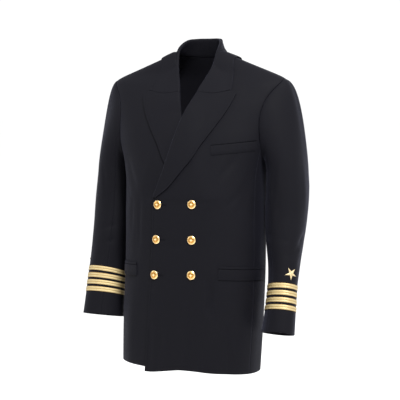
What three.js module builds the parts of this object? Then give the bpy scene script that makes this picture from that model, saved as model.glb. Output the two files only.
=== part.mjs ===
import * as THREE from "three";

// Sizes that drive the jacket, in millimetres.
// X runs to the wearer's left, the front faces -Y, Z is up, and the neck points are at Z = 0.
const WALL = 2;
const GAP = 0.4;
const NECK_X = 72;
const TIP_X = 233;
const TIP_Z = -64;
const HEM_Z = -771;
const BACK_NECK_Z = -8;
const BREAK_Z = -356;
const GORGE_Z = -97;
const TAIL = 3;
const TAIL_GAP = 1.2;
const LAPEL_LOW_Z = -352;
const BUTTON_RADIUS = 10.6;
const BUTTON_COLUMN_X = 46;
const BUTTON_OUTER_X = [-45, -48.5, -53];
const BUTTON_OUTER_Z = [-369, -454, -541];
const BUTTON_INNER_Z = [-366, -452, -537];
const STRIPE_WIDTH = 11.6;
const STRIPE_SPACE = 5.6;
const STRIPE_FROM_CUFF = 54;
const BRAID = 1;
const STAR_RADIUS = 16;

// Level sections of the worn body of the jacket, from the hem to the neck.
const torso = columns("z half front back mid shift round backRound", [
  [-800, 179, -140, 80, -26, -7, 2.35, 2.3],
  [-650, 182, -141, 86, -20, -2.5, 2.35, 2.3],
  [-540, 181, -142, 92, -14, 1, 2.35, 2.3],
  [-450, 180, -140, 97, -10, 1.5, 2.4, 2.3],
  [-400, 180, -139, 101, -8, 1, 2.4, 2.3],
  [-350, 180, -136, 105, -6, 1, 2.45, 2.3],
  [-300, 182, -130, 110, -2, 0, 2.5, 2.3],
  [-268, 187, -124, 112, 3, 0, 2.55, 2.35],
  [-213, 204, -109, 114, 8, 0, 2.65, 2.35],
  [-160, 218, -89, 114, 11, 0, 2.6, 2.25],
  [-112, 228, -64, 110, 12, 1.5, 2.75, 2.15],
  [-80, 234, -42, 105, 12, 2.5, 2.95, 2.1],
  [-50, 236, -20, 99, 12, 2, 2.6, 2.05],
  [-20, 240, -9, 89, 12, 0.7, 2.2, 2],
  [0, 240, -2, 82, 12, 0, 2, 2],
  [30, 240, 4, 74, 12, 0, 2, 2],
]);

// The left lapel's fold and free edge, and the front edge below it.
const lapelLine = columns("z fold edge", [
  [-361, -60.5, -60],
  [-345, -56, -40],
  [-328, -49, -17],
  [-311, -42, -1.5],
  [-283, -32, 21],
  [-261, -26, 39],
  [-225, -17, 60],
  [-183, -6, 88],
  [-144, 6, 111],
  [-98.5, 22, 126.5],
  [-80, 29, 128],
]);
const frontEdge = columns("z edge", [
  [-800, -70],
  [-650, -67],
  [-530, -65],
  [-460, -64],
  [-356, -61.5],
]);
const neckSeam = columns("z edge", [
  [-97, 30],
  [-80, 36],
  [-64, 42],
  [-50, 48],
  [-30, 55],
  [-15, 61],
  [0, 68],
]);

// Seams of the side body, as depths Y down the jacket.
const sideSeams = columns("z front back", [
  [-800, -64, 34],
  [-540, -56, 40],
  [-400, -52, 44],
  [-250, -43, 46],
  [-220, -42, 47.5],
]);

// The collar from the middle of the back, q = 0, to the end of its seam on the lapel, q = 1.
const collarFold = columns("q x y z", [
  [0, 0, 74, 38],
  [0.17, 30, 67, 37.5],
  [0.33, 47, 43, 33],
  [0.5, 54.5, 11, 13],
  [0.62, 52.5, -2, -6],
  [0.74, 47.5, -13, -30],
  [0.86, 37, -32, -60],
  [1, 21, -60, -97],
]);
const collarEdge = columns("q x y z", [
  [0, 0, 97, -24],
  [0.17, 44, 92, -26],
  [0.33, 83, 62, -31],
  [0.5, 102, 12, -20],
  [0.62, 107, -6, -28],
  [0.74, 109, -18, -48],
  [0.86, 110, -32, -70],
  [1, 110, -49, -92.5],
]);

// Centre lines of the sleeves with the two half widths of each section and the long one's heading.
const sleeveLeft = columns("z x y long short turn", [
  [-679, 240, -59.5, 53, 38, -52],
  [-645, 240, -49.5, 51, 37, -54],
  [-580, 239, -30, 50, 35, -58],
  [-520, 237, -12, 53, 39, -66],
  [-460, 234, 2, 57, 46, -78],
  [-400, 233, 14, 62, 50, -88],
  [-350, 234, 20, 68, 50, -90],
  [-290, 233, 22, 72, 47, -90],
]);
const sleeveRight = columns("z x y long short turn", [
  [-664, 242, -53, 52, 40, -32],
  [-642, 242, -48, 51, 39, -34],
  [-580, 242, -30, 51, 40, -42],
  [-520, 240, -11, 54, 44, -52],
  [-460, 238.5, 3, 57, 49, -72],
  [-400, 237, 15, 61, 52, -86],
  [-350, 236, 22, 66, 50, -90],
  [-290, 232.5, 24, 70, 47, -90],
]);
const ARM_ANGLES = [
  0, 12, 24, 36, 50, 65, 80, 95, 110, 125, 140, 155, 170, 185, 200, 215, 230, 245, 260, 275, 290,
  306, 322, 336, 348,
];
const SIDE_FROM = 125;
const SIDE_TO = 215;
const FOREARM_SEAM = 110;
const HINDARM_SEAM = 290;

// Tables, smooth curves and small vector helpers.
function columns(names, rows) {
  const keys = names.split(" ");
  const xs = rows.map((row) => row[0]);
  const out = { first: xs[0], last: xs[xs.length - 1] };
  keys.slice(1).forEach((key, k) => {
    out[key] = smooth(xs, rows.map((row) => row[k + 1]));
  });
  return out;
}

function smooth(xs, ys) {
  const last = xs.length - 1;
  const step = [];
  const slope = [];
  for (let i = 0; i < last; i++) {
    step.push(xs[i + 1] - xs[i]);
    slope.push((ys[i + 1] - ys[i]) / step[i]);
  }
  const tangent = [slope[0]];
  for (let i = 1; i < last; i++) {
    const mixed = (slope[i - 1] * step[i] + slope[i] * step[i - 1]) / (step[i] + step[i - 1]);
    tangent.push(slope[i - 1] * slope[i] < 0 ? mixed * 0.3 : mixed);
  }
  tangent.push(slope[last - 1]);
  return (x) => {
    if (x <= xs[0]) return ys[0] + (x - xs[0]) * tangent[0];
    if (x >= xs[last]) return ys[last] + (x - xs[last]) * tangent[last];
    let i = 0;
    while (x > xs[i + 1]) i++;
    const t = (x - xs[i]) / step[i];
    const a = 2 * t ** 3 - 3 * t ** 2 + 1;
    const b = t ** 3 - 2 * t ** 2 + t;
    const c = t ** 3 - t ** 2;
    return a * ys[i] + b * step[i] * tangent[i] + (1 - a) * ys[i + 1] + c * step[i] * tangent[i + 1];
  };
}

function vec(x, y, z) {
  return new THREE.Vector3(x, y, z);
}

function mix(a, b, t) {
  return a + (b - a) * t;
}

function ease(from, to, x) {
  const t = Math.min(1, Math.max(0, (x - from) / (to - from)));
  return t * t * (3 - 2 * t);
}

function steps(from, to, count) {
  return Array.from({ length: count + 1 }, (_, i) => mix(from, to, i / count));
}

// The form that the body panels lie on.
function half(z) {
  const down = z / TIP_Z;
  const shoulder = NECK_X + (TIP_X - NECK_X) * Math.sign(down) * Math.abs(down) ** 1.04;
  const soft = 12;
  return -soft * Math.log(Math.exp(-shoulder / soft) + Math.exp(-torso.half(z) / soft));
}

function depthOf(y, z) {
  return y < torso.mid(z) ? torso.mid(z) - torso.front(z) : torso.back(z) - torso.mid(z);
}

function roundOf(y, z) {
  return y < torso.mid(z) ? torso.round(z) : torso.backRound(z);
}

function level(x, y, z) {
  const n = roundOf(y, z);
  const across = Math.abs(x / half(z)) ** n;
  const deep = Math.abs((y - torso.mid(z)) / depthOf(y, z)) ** n;
  return (across + deep) ** (1 / n) - 1;
}

function slopeAt(p) {
  const e = 0.4;
  return vec(
    level(p.x + e, p.y, p.z) - level(p.x - e, p.y, p.z),
    level(p.x, p.y + e, p.z) - level(p.x, p.y - e, p.z),
    level(p.x, p.y, p.z + e) - level(p.x, p.y, p.z - e),
  ).multiplyScalar(0.5 / e);
}

function awayFromForm(p) {
  return level(p.x, p.y, p.z) / slopeAt(p).length();
}

function frontY(x, z) {
  const n = torso.round(z);
  const part = Math.max(0, 1 - Math.abs(x / half(z)) ** n);
  return torso.mid(z) - (torso.mid(z) - torso.front(z)) * part ** (1 / n);
}

function sideX(y, z) {
  const n = roundOf(y, z);
  const part = Math.max(0, 1 - Math.abs((y - torso.mid(z)) / depthOf(y, z)) ** n);
  return half(z) * part ** (1 / n);
}

function headingOf(x, y, z) {
  return Math.atan2(x, torso.mid(z) - y);
}

function onForm(heading, z) {
  const front = Math.cos(heading) > 0;
  const n = front ? torso.round(z) : torso.backRound(z);
  const deep = front ? torso.mid(z) - torso.front(z) : torso.back(z) - torso.mid(z);
  const across = Math.abs(Math.sin(heading) / half(z)) ** n;
  const r = (across + Math.abs(Math.cos(heading) / deep) ** n) ** (-1 / n);
  return vec(r * Math.sin(heading), torso.mid(z) - r * Math.cos(heading), z);
}

function evenHeadings(from, to, z, count, insetFrom, insetTo) {
  const fine = steps(from, to, 80);
  const length = [0];
  for (let i = 1; i < fine.length; i++) {
    length.push(length[i - 1] + onForm(fine[i], z).distanceTo(onForm(fine[i - 1], z)));
  }
  const total = length[length.length - 1];
  return steps(insetFrom, total - insetTo, count).map((want) => {
    let i = 1;
    while (i < fine.length - 1 && length[i] < want) i++;
    return mix(fine[i - 1], fine[i], (want - length[i - 1]) / (length[i] - length[i - 1]));
  });
}

// How far the overlapping foreparts stand off the form, the left one out and the right one in.
function overlap(side, x, z) {
  const upper = z > BREAK_Z - 4;
  const fold = upper ? lapelLine.fold(z) : frontEdge.edge(z);
  const fade = 1 - ease(-145, -104, z);
  if (side > 0) {
    const high = mix(3.2, 1, ease(-352, -362, z)) * fade;
    return high * (1 - ease(Math.max(14, 12 - fold), Math.max(14, 12 - fold) + 50, x));
  }
  const low = mix(4.2, 2.4, ease(-352, -362, z)) * fade;
  return -low * ease(fold - 52, fold - 5, x);
}

// How far the hem hangs below its level line, by heading in degrees from the middle of the front.
const hemLeft = columns("heading drop", [
  [-40, 12], [-31, 12], [-15, 8], [0, 3.5], [12, 1], [28, 2], [42, 5], [60, 8], [80, 12], [110, 12],
  [180, 8],
]);
const hemRight = columns("heading drop", [
  [-180, 8], [-130, 3], [-90, -1], [-75, -2.5], [-60, -2], [-45, 0], [40, 0],
]);

function hang(p, side) {
  const own = side > 0 || (side === 0 && p.x > 0) ? hemLeft : hemRight;
  const heading = headingOf(p.x, p.y, p.z);
  const fade = 1 - ease(HEM_Z, HEM_Z + 160, p.z);
  return onForm(heading, p.z - own.drop((heading * 180) / Math.PI) * fade);
}

// Soft folds of the worn cloth: from, to, height out of the cloth and half width.
const FOLDS = [
  [[-104, -112, -330], [-112, -118, -520], -2.2, 13],
  [[98, -128, -540], [102, -124, -690], -2, 14],
  [[-120, -108, -560], [-128, -104, -790], 2.6, 18],
  [[150, -88, -600], [146, -92, -790], 2.8, 20],
  [[172, -60, -280], [150, -92, -400], -2.4, 16],
  [[-172, -60, -280], [-152, -90, -390], -2.2, 15],
  [[70, 104, -150], [58, 98, -420], -2.4, 20],
  [[-66, 104, -160], [-60, 98, -400], -2.2, 20],
  [[110, 84, -430], [96, 78, -720], 2.6, 22],
  [[-104, 84, -470], [-98, 78, -740], 2.8, 22],
  [[-214, -34, -250], [-222, -44, -500], -3.4, 15],
  [[-262, -14, -380], [-250, -30, -520], 2.4, 13],
  [[262, -30, -200], [268, -34, -420], -2.2, 15],
  [[283, 20, -440], [262, -50, -500], -3.2, 14],
  [[214, -40, -300], [222, -50, -440], 2.6, 13],
  [[270, 60, -330], [262, 52, -520], -3, 16],
  [[-266, 62, -330], [-258, 52, -500], -2.6, 16],
];

function foldHeight(p) {
  let sum = 0;
  for (const [from, to, height, width] of FOLDS) {
    const a = vec(...from);
    const line = vec(...to).sub(a);
    const t = p.clone().sub(a).dot(line) / line.lengthSq();
    if (t < -0.3 || t > 1.3) continue;
    const away = p.distanceTo(a.addScaledVector(line, Math.min(1, Math.max(0, t))));
    const taper = Math.sin(Math.PI * Math.min(1, Math.max(0, t))) ** 0.7;
    sum += height * taper * Math.exp(-((away / width) ** 2));
  }
  return sum;
}

// A point of the cloth over the form: side is the forepart it belongs to, or 0.
function cloth(p, side, out) {
  const direction = slopeAt(p).normalize();
  const stand = side === 0 ? 0 : overlap(side, p.x, p.z);
  return { at: p.clone().addScaledVector(direction, stand + foldHeight(p) + out), direction };
}

function sway(p) {
  return vec(p.x + torso.shift(p.z), p.y, p.z);
}

// Closed solids from grids of points.
function sheet(outer, inner, closed) {
  const rows = outer.length;
  const count = outer[0].length;
  const points = [];
  const faces = [];
  const put = (p) => points.push(p.x, p.y, p.z);
  outer.forEach((row) => row.forEach(put));
  inner.forEach((row) => row.forEach(put));
  const o = (i, j) => i * count + (j % count);
  const n = (i, j) => rows * count + i * count + (j % count);
  const quad = (a, b, c, d) => faces.push(a, b, c, a, c, d);
  const last = closed ? count : count - 1;
  for (let i = 0; i < rows - 1; i++) {
    for (let j = 0; j < last; j++) {
      quad(o(i, j), o(i, j + 1), o(i + 1, j + 1), o(i + 1, j));
      quad(n(i, j), n(i + 1, j), n(i + 1, j + 1), n(i, j + 1));
    }
  }
  for (let j = 0; j < last; j++) {
    quad(o(0, j), n(0, j), n(0, j + 1), o(0, j + 1));
    quad(o(rows - 1, j), o(rows - 1, j + 1), n(rows - 1, j + 1), n(rows - 1, j));
  }
  if (!closed) {
    for (let i = 0; i < rows - 1; i++) {
      quad(o(i, 0), o(i + 1, 0), n(i + 1, 0), n(i, 0));
      quad(o(i, last), n(i, last), n(i + 1, last), o(i + 1, last));
    }
  }
  return solid(points, faces);
}

function solid(points, faces) {
  const geometry = new THREE.BufferGeometry();
  geometry.setAttribute("position", new THREE.Float32BufferAttribute(points, 3));
  geometry.setIndex(faces);
  if (volume(points, faces) < 0) {
    for (let i = 0; i < faces.length; i += 3) [faces[i], faces[i + 1]] = [faces[i + 1], faces[i]];
    geometry.setIndex(faces);
  }
  return geometry;
}

function volume(points, faces) {
  let sum = 0;
  const at = (i) => vec(points[3 * i], points[3 * i + 1], points[3 * i + 2]);
  for (let i = 0; i < faces.length; i += 3) {
    sum += at(faces[i]).dot(at(faces[i + 1]).cross(at(faces[i + 2])));
  }
  return sum;
}

function gridNormals(grid, closed) {
  const rows = grid.length;
  const count = grid[0].length;
  const across = (i, j) => {
    if (closed) return grid[i][(j + 1) % count].clone().sub(grid[i][(j + count - 1) % count]);
    return grid[i][Math.min(count - 1, j + 1)].clone().sub(grid[i][Math.max(0, j - 1)]);
  };
  const along = (i, j) => {
    return grid[Math.min(rows - 1, i + 1)][j].clone().sub(grid[Math.max(0, i - 1)][j]);
  };
  return grid.map((row, i) => row.map((_, j) => across(i, j).cross(along(i, j)).normalize()));
}

function offset(grid, normals, out) {
  return grid.map((row, i) => row.map((p, j) => p.clone().addScaledVector(normals[i][j], out)));
}

// Materials, one for each node.
const group = new THREE.Group();
const COLOURS = { cloth: 0x22242b, braid: 0xc9a24a, metal: 0xd9a441 };

function add(name, geometry, colour, metal) {
  const material = new THREE.MeshStandardMaterial({
    color: COLOURS[colour],
    roughness: metal ? 0.3 : 0.85,
    metalness: metal ? 1 : 0,
  });
  const mesh = new THREE.Mesh(geometry, material);
  mesh.name = name;
  group.add(mesh);
}

// The armhole, an egg-shaped line on the form, by its angle from the shoulder toward the front.
const ARM_MID_Z = -166;
const ARM_HALF_Z = -ARM_MID_Z + TIP_Z;

function armhole(degrees) {
  const a = (degrees * Math.PI) / 180;
  const z = ARM_MID_Z + ARM_HALF_Z * Math.cos(a);
  const middle = mix(6, 12, (z + 268) / 204);
  const y = middle - (Math.sin(a) > 0 ? 63 : 61) * Math.sin(a) * (1 - 0.18 * Math.cos(a));
  return vec(sideX(y, z), y, z);
}

function foreEdgeX(z) {
  if (z < BREAK_Z) return frontEdge.edge(z);
  if (z > GORGE_Z) return neckSeam.edge(z);
  return lapelLine.fold(z) + foldRadius(1, z) + 1 + TAIL + TAIL_GAP;
}

function foldRadius(side, z) {
  if (side > 0) return mix(1.7, 3, ease(-330, -180, z));
  return mix(1.7, 3, ease(-150, -115, z));
}

// Rows of the panels: from the hem up to the armhole, round the armhole and up the shoulder.
const LOWER = [
  0, 0.08, 0.16, 0.24, 0.32, 0.4, 0.48, 0.56, 0.63, 0.69, 0.7525, 0.7625, 0.82, 0.88, 0.94, 1,
];
const SHOULDER_ROWS = [-53, -42, -31, -21, -12, -5.5, -1.4];

function panelRows(fromDegrees) {
  const around = ARM_ANGLES.filter((a) => (fromDegrees < 180 ? a <= fromDegrees : a >= fromDegrees));
  if (fromDegrees < 180) around.reverse();
  else around.push(360);
  const top = armhole(around[0]).z;
  const rows = LOWER.map((t) => ({ z: mix(HEM_Z, top, t), kind: "seam" }));
  around.slice(1).forEach((a) => rows.push({ z: armhole(a).z, kind: "arm", degrees: a }));
  SHOULDER_ROWS.forEach((z) => rows.push({ z, kind: "shoulder" }));
  return rows;
}

function panelSolid(rows, side, mirror) {
  const outer = [];
  const inner = [];
  for (const row of rows) {
    const points = row.map((p) => (mirror ? vec(-p.x, p.y, p.z) : p));
    const made = points.map((p) => cloth(hang(p, side), side, 0));
    outer.push(made.map((m) => sway(m.at)));
    inner.push(made.map((m) => sway(m.at.clone().addScaledVector(m.direction, -WALL))));
  }
  return sheet(outer, inner, false);
}

function foreRow(row) {
  const z = row.z;
  const x = foreEdgeX(z);
  const from = headingOf(x, frontY(x, z), z);
  let to = Math.PI / 2;
  if (row.kind === "seam") to = headingOf(sideX(sideSeams.front(z), z), sideSeams.front(z), z);
  if (row.kind === "arm") {
    const p = armhole(row.degrees);
    to = headingOf(p.x, p.y, p.z);
  }
  const gap = row.kind === "shoulder" || row.kind === "seam" ? GAP / 2 : GAP / 2 + 0.1;
  return evenHeadings(from, to, z, 12, z > GORGE_Z ? 0.9 : 0, gap).map((h) => onForm(h, z));
}

for (const side of [1, -1]) {
  const rows = panelRows(SIDE_FROM).map(foreRow);
  add(side > 0 ? "front_left" : "front_right", panelSolid(rows, side, side < 0), "cloth");
}

function backRow(row) {
  const z = row.z;
  let to = Math.PI / 2;
  if (row.kind === "seam") to = headingOf(sideX(sideSeams.back(z), z), sideSeams.back(z), z);
  if (row.kind === "arm") {
    const p = armhole(row.degrees);
    to = headingOf(p.x, p.y, p.z);
  }
  const gap = row.kind === "arm" ? GAP / 2 + 0.1 : GAP / 2;
  const headings = evenHeadings(Math.PI, to, z, 8, GAP / 2, gap);
  const middle = z > TIP_Z ? mix(TIP_Z, BACK_NECK_Z, 1 - z / TIP_Z) : z;
  return headings.map((h, j) => onForm(h, mix(middle, z, ease(0, 8, j))));
}

for (const side of [1, -1]) {
  const rows = panelRows(SIDE_TO).map(backRow);
  add(side > 0 ? "back_left" : "back_right", panelSolid(rows, 0, side < 0), "cloth");
}

function sideRow(t) {
  const angles = ARM_ANGLES.filter((a) => a >= SIDE_FROM && a <= SIDE_TO);
  const start = armhole(SIDE_FROM).y;
  const end = armhole(SIDE_TO).y;
  return angles.map((a, j) => {
    const top = armhole(a);
    const z = mix(HEM_Z, top.z, t) - (t === 1 ? GAP / 2 : 0);
    const part = (top.y - start) / (end - start);
    let y = mix(sideSeams.front(z), sideSeams.back(z), part);
    if (j === 0) y += GAP / 2;
    if (j === angles.length - 1) y -= GAP / 2;
    return vec(sideX(y, z), y, z);
  });
}

for (const side of [1, -1]) {
  const rows = LOWER.map(sideRow);
  add(side > 0 ? "side_left" : "side_right", panelSolid(rows, 0, side < 0), "cloth");
}

// Lapels: cloth that turns over at the fold and lies on its forepart.
const FLAT = steps(0, 1, 9).slice(1);
const LAPEL_ROWS = [0, 0.05, 0.11, 0.18, 0.26, 0.34, 0.42, 0.5, 0.58, 0.66, 0.74, 0.82, 0.89, 0.95, 1];
const NOTCH = 0.82;

function turnedSection(side, start, end, z, radius) {
  const base = cloth(start, side, 0);
  const along = end.clone().sub(start);
  along.addScaledVector(base.direction, -along.dot(base.direction)).normalize();
  const spot = (u, n) => base.at.clone().addScaledVector(along, u).addScaledVector(base.direction, n);
  const turn = [-90, -135, -180, -225, -270].map((degrees) => {
    const a = (degrees * Math.PI) / 180;
    return spot(radius * Math.cos(a), radius - 1 + radius * Math.sin(a));
  });
  return [spot(TAIL, -1), ...turn];
}

function gorge(s) {
  const x = mix(lapelLine.fold(GORGE_Z) + foldRadius(1, GORGE_Z) + 1, 110, s);
  return [x, mix(GORGE_Z - 1, -92.5, s) - 9 * Math.sin(Math.PI * s) ** 1.5];
}

function lapelTop(s) {
  if (s <= NOTCH) return gorge(s / NOTCH);
  const t = (s - NOTCH) / (1 - NOTCH);
  return [mix(110, 126.5, t), mix(-92.5, -98.5, t)];
}

function lapelPoint(s, t) {
  const z = mix(LAPEL_LOW_Z, GORGE_Z, t);
  const zEdge = mix(LAPEL_LOW_Z, -98.5, t);
  const start = lapelLine.fold(z) + foldRadius(1, z) + 1;
  const edge = Math.max(start + 2.5, lapelLine.edge(zEdge));
  const top = lapelTop(s);
  const plain = [mix(start, edge, s), mix(z, zEdge, s)];
  const first = lapelLine.fold(GORGE_Z) + foldRadius(1, GORGE_Z) + 1;
  const straight = [mix(first, 126.5, s), mix(GORGE_Z, -98.5, s)];
  const w = t ** 3;
  return [plain[0] + (top[0] - straight[0]) * w, plain[1] + (top[1] - straight[1]) * w];
}

function lapelRow(side, t) {
  const lower = t === 1 ? 1 : 0;
  const place = (s) => {
    const [wide, z] = lapelPoint(s, t);
    const x = side > 0 ? wide : wide - 5 * s * ease(0.2, 0.6, t) * (1 - ease(0.7, 1, t) * 0.6);
    return vec(side * x, frontY(x, z - lower), z - lower);
  };
  const start = place(0);
  const radius = foldRadius(side, start.z);
  const section = turnedSection(side, start, place(1), start.z, radius);
  for (const s of FLAT) {
    const height = mix(2 * radius - 1, 1.9, ease(0, 1, s));
    section.push(cloth(place(s), side, height).at);
  }
  return section;
}

for (const side of [1, -1]) {
  const middle = LAPEL_ROWS.map((t) => lapelRow(side, t).map(sway));
  const normals = gridNormals(middle, false);
  const made = sheet(offset(middle, normals, WALL / 2), offset(middle, normals, -WALL / 2), false);
  add(side > 0 ? "lapel_left" : "lapel_right", made, "cloth");
}

// The collar: a stand that rises from the neck seam, folds over and falls as a leaf.
const STAND = [0, 0.35, 0.7];
const LEAF = steps(0, 1, 6).slice(1);
const STATIONS = [0, 0.1, 0.2, 0.3, 0.38, 0.44, 0.5, 0.56, 0.62, 0.7, 0.78, 0.86, 0.93, 1];

function collarSection(q) {
  const back = q < 0.5;
  const heading = Math.PI * (1 - q);
  let seam;
  if (back) seam = onForm(heading, mix(BACK_NECK_Z, 0, ease(0, 0.5, q)));
  else {
    const z = GORGE_Z * ((q - 0.5) * 2) ** 1.25;
    seam = vec(neckSeam.edge(z), frontY(neckSeam.edge(z), z), z);
  }
  const w = ease(0.5, 1, q);
  const direction = slopeAt(seam).normalize();
  const start = lapelRow(1, 1);
  const lastBulge = start[3].clone().sub(start[1].clone().add(start[5]).multiplyScalar(0.5)).normalize();
  const lastOver = start[5].clone().sub(start[1]).normalize();
  const out = vec(Math.sin(heading), -Math.cos(heading), 0);
  if (!back) out.set(1, 0, 0);
  const bulge = vec(0, 0, 1).lerp(lastBulge, w).normalize();
  const over = out.lerp(lastOver, w);
  over.addScaledVector(bulge, -over.dot(bulge)).normalize();
  const radius = 3;
  const fold = vec(collarFold.x(q), collarFold.y(q), collarFold.z(q));
  fold.lerp(start[3].clone().add(vec(0, 0, GAP)), ease(0.9, 1, q));
  const centre = fold.clone().addScaledVector(bulge, -radius);
  const turn = [-90, -45, 0, 45, 90].map((degrees) => {
    const a = (degrees * Math.PI) / 180;
    return centre.clone().addScaledVector(bulge, radius * Math.cos(a))
      .addScaledVector(over, radius * Math.sin(a));
  });
  const foot = seam.clone().addScaledVector(direction, -1);
  const rise = turn[0].clone().sub(foot);
  const far = rise.length();
  foot.addScaledVector(rise, Math.min(0.5, (GAP + 0.3) / far));
  if (q > 0.86) {
    const tail = start[0].clone().add(vec(0, 0, GAP));
    foot.lerp(tail, ease(0.86, 1, q));
  }
  const section = STAND.map((t) => foot.clone().lerp(turn[0], t));
  section.push(...turn);
  const edge = vec(collarEdge.x(q), collarEdge.y(q), collarEdge.z(q));
  const span = turn[4].distanceTo(edge);
  const leave = bulge.clone().multiplyScalar(-1).lerp(over, 0.14).normalize();
  const control = turn[4].clone().addScaledVector(leave, span * 0.4);
  for (const s of LEAF) {
    const p = turn[4].clone().multiplyScalar((1 - s) ** 2)
      .addScaledVector(control, 2 * s * (1 - s)).addScaledVector(edge, s * s);
    const [gx, gz] = gorge(s);
    const onFront = vec(gx, frontY(gx, gz), gz);
    const flat = cloth(onFront, 1, mix(2 * radius - 1, 1.9, ease(0, 1, s * NOTCH))).at;
    p.lerp(flat, ease(0.72, 1, q));
    for (let k = 0; k < 4; k++) {
      const low = ease(5, -4, p.z);
      const clear = mix(3.1, 2.4, s) + 0.5 * Math.exp(-(((q - 0.5) / 0.1) ** 2)) + overlap(1, p.x, p.z);
      const lack = clear - awayFromForm(p);
      if (low > 0 && lack > 0) p.addScaledVector(slopeAt(p).normalize(), lack * low);
    }
    section.push(p);
  }
  return section;
}

function collar() {
  const left = STATIONS.map(collarSection);
  const right = left.map((row) => row.map((p) => vec(-p.x, p.y, p.z)));
  const middle = [...right.reverse().slice(0, -1), ...left].map((row) => row.map(sway));
  const normals = gridNormals(middle, false);
  return sheet(offset(middle, normals, WALL / 2), offset(middle, normals, -WALL / 2), false);
}

add("collar", collar(), "cloth");

// Sleeves: a cap that grows out of the armhole into a bent tube, cut in a top and an under part.
const CAP = [0, 0.08, 0.18, 0.31, 0.46, 0.63, 0.81];
const TUBE_ROWS = 13;

function tubePoint(table, z, degrees) {
  const a = (degrees * Math.PI) / 180;
  const centre = vec(table.x(z), table.y(z), z);
  const next = vec(table.x(z - 2), table.y(z - 2), z - 2);
  const down = next.sub(centre).normalize();
  const first = vec(1, 0, 0);
  first.addScaledVector(down, -first.dot(down)).normalize();
  const second = first.clone().cross(down);
  const turn = (table.turn(z) * Math.PI) / 180;
  const apart = -a - turn;
  const n = 2.15;
  const across = Math.abs(Math.cos(apart) / table.long(z)) ** n;
  const r = (across + Math.abs(Math.sin(apart) / table.short(z)) ** n) ** (-1 / n);
  return centre.addScaledVector(first, r * Math.cos(a)).addScaledVector(second, -r * Math.sin(a));
}

function capPoint(table, side, u, degrees) {
  const a = (degrees * Math.PI) / 180;
  const from = armhole(degrees);
  from.add(vec(1 + side * torso.shift(from.z), 0, -0.4 * Math.max(0, Math.cos(a))));
  const to = tubePoint(table, -290, degrees);
  const later = tubePoint(table, -294, degrees).sub(to).normalize();
  const span = from.distanceTo(to);
  const top = Math.max(0, Math.cos(a));
  const leave = vec(1, -0.35 * Math.sin(a), -0.1 * top - 0.35 * (1 - top)).normalize();
  const start = mix(0.55, side > 0 ? 0.42 : 0.3, top) * span;
  const end = mix(0.7, 1.15, top) * span;
  const t2 = u * u;
  const t3 = t2 * u;
  return from.multiplyScalar(2 * t3 - 3 * t2 + 1)
    .addScaledVector(leave, (t3 - 2 * t2 + u) * start)
    .addScaledVector(to, -2 * t3 + 3 * t2)
    .addScaledVector(later, (t3 - t2) * end);
}

function sleeveRings(side) {
  const table = side > 0 ? sleeveLeft : sleeveRight;
  const rings = CAP.map((u) => ARM_ANGLES.map((a) => capPoint(table, side, u, a)));
  for (const z of steps(-290, table.first, TUBE_ROWS)) {
    rings.push(ARM_ANGLES.map((a) => tubePoint(table, z, a)));
  }
  return rings.map((ring) => ring.map((p) => vec(side * p.x, p.y, p.z)));
}

function sleevePiece(rings, normals, from, to) {
  const outer = [];
  const inner = [];
  const picked = [];
  for (let j = ARM_ANGLES.indexOf(from); ; j = (j + 1) % ARM_ANGLES.length) {
    picked.push(j);
    if (ARM_ANGLES[j] === to) break;
  }
  rings.forEach((ring, i) => {
    const row = picked.map((j) => ring[j].clone());
    const around = picked.map((j) => normals[i][j]);
    const shift = (a, b) => row[b].clone().sub(row[a]).normalize().multiplyScalar(GAP / 2);
    const last = row.length - 1;
    const begin = shift(0, 1);
    const finish = shift(last, last - 1);
    row[0].add(begin);
    row[last].add(finish);
    outer.push(row);
    inner.push(row.map((p, j) => p.clone().addScaledVector(around[j], -WALL)));
  });
  return sheet(outer, inner, false);
}

function band(rings, normals, from, to, lift, thick) {
  const length = [0];
  for (let i = rings.length - 1; i > 0; i--) {
    const a = rings[i];
    const b = rings[i - 1];
    const gaps = a.map((p, j) => p.distanceTo(b[j]));
    length.push(length[length.length - 1] + gaps.reduce((x, y) => x + y, 0) / gaps.length);
  }
  const rowAt = (want) => {
    let k = 1;
    while (length[k] < want) k++;
    const t = (want - length[k - 1]) / (length[k] - length[k - 1]);
    const a = rings.length - k;
    return [a, a - 1, t];
  };
  const make = (out) => [from, to].map((want) => {
    const [a, b, t] = rowAt(want);
    return rings[a].map((p, j) => {
      const at = p.clone().lerp(rings[b][j], t);
      const normal = normals[a][j].clone().lerp(normals[b][j], t).normalize();
      return at.addScaledVector(normal, out);
    });
  });
  return sheet(make(lift + thick), make(lift), true);
}

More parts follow.
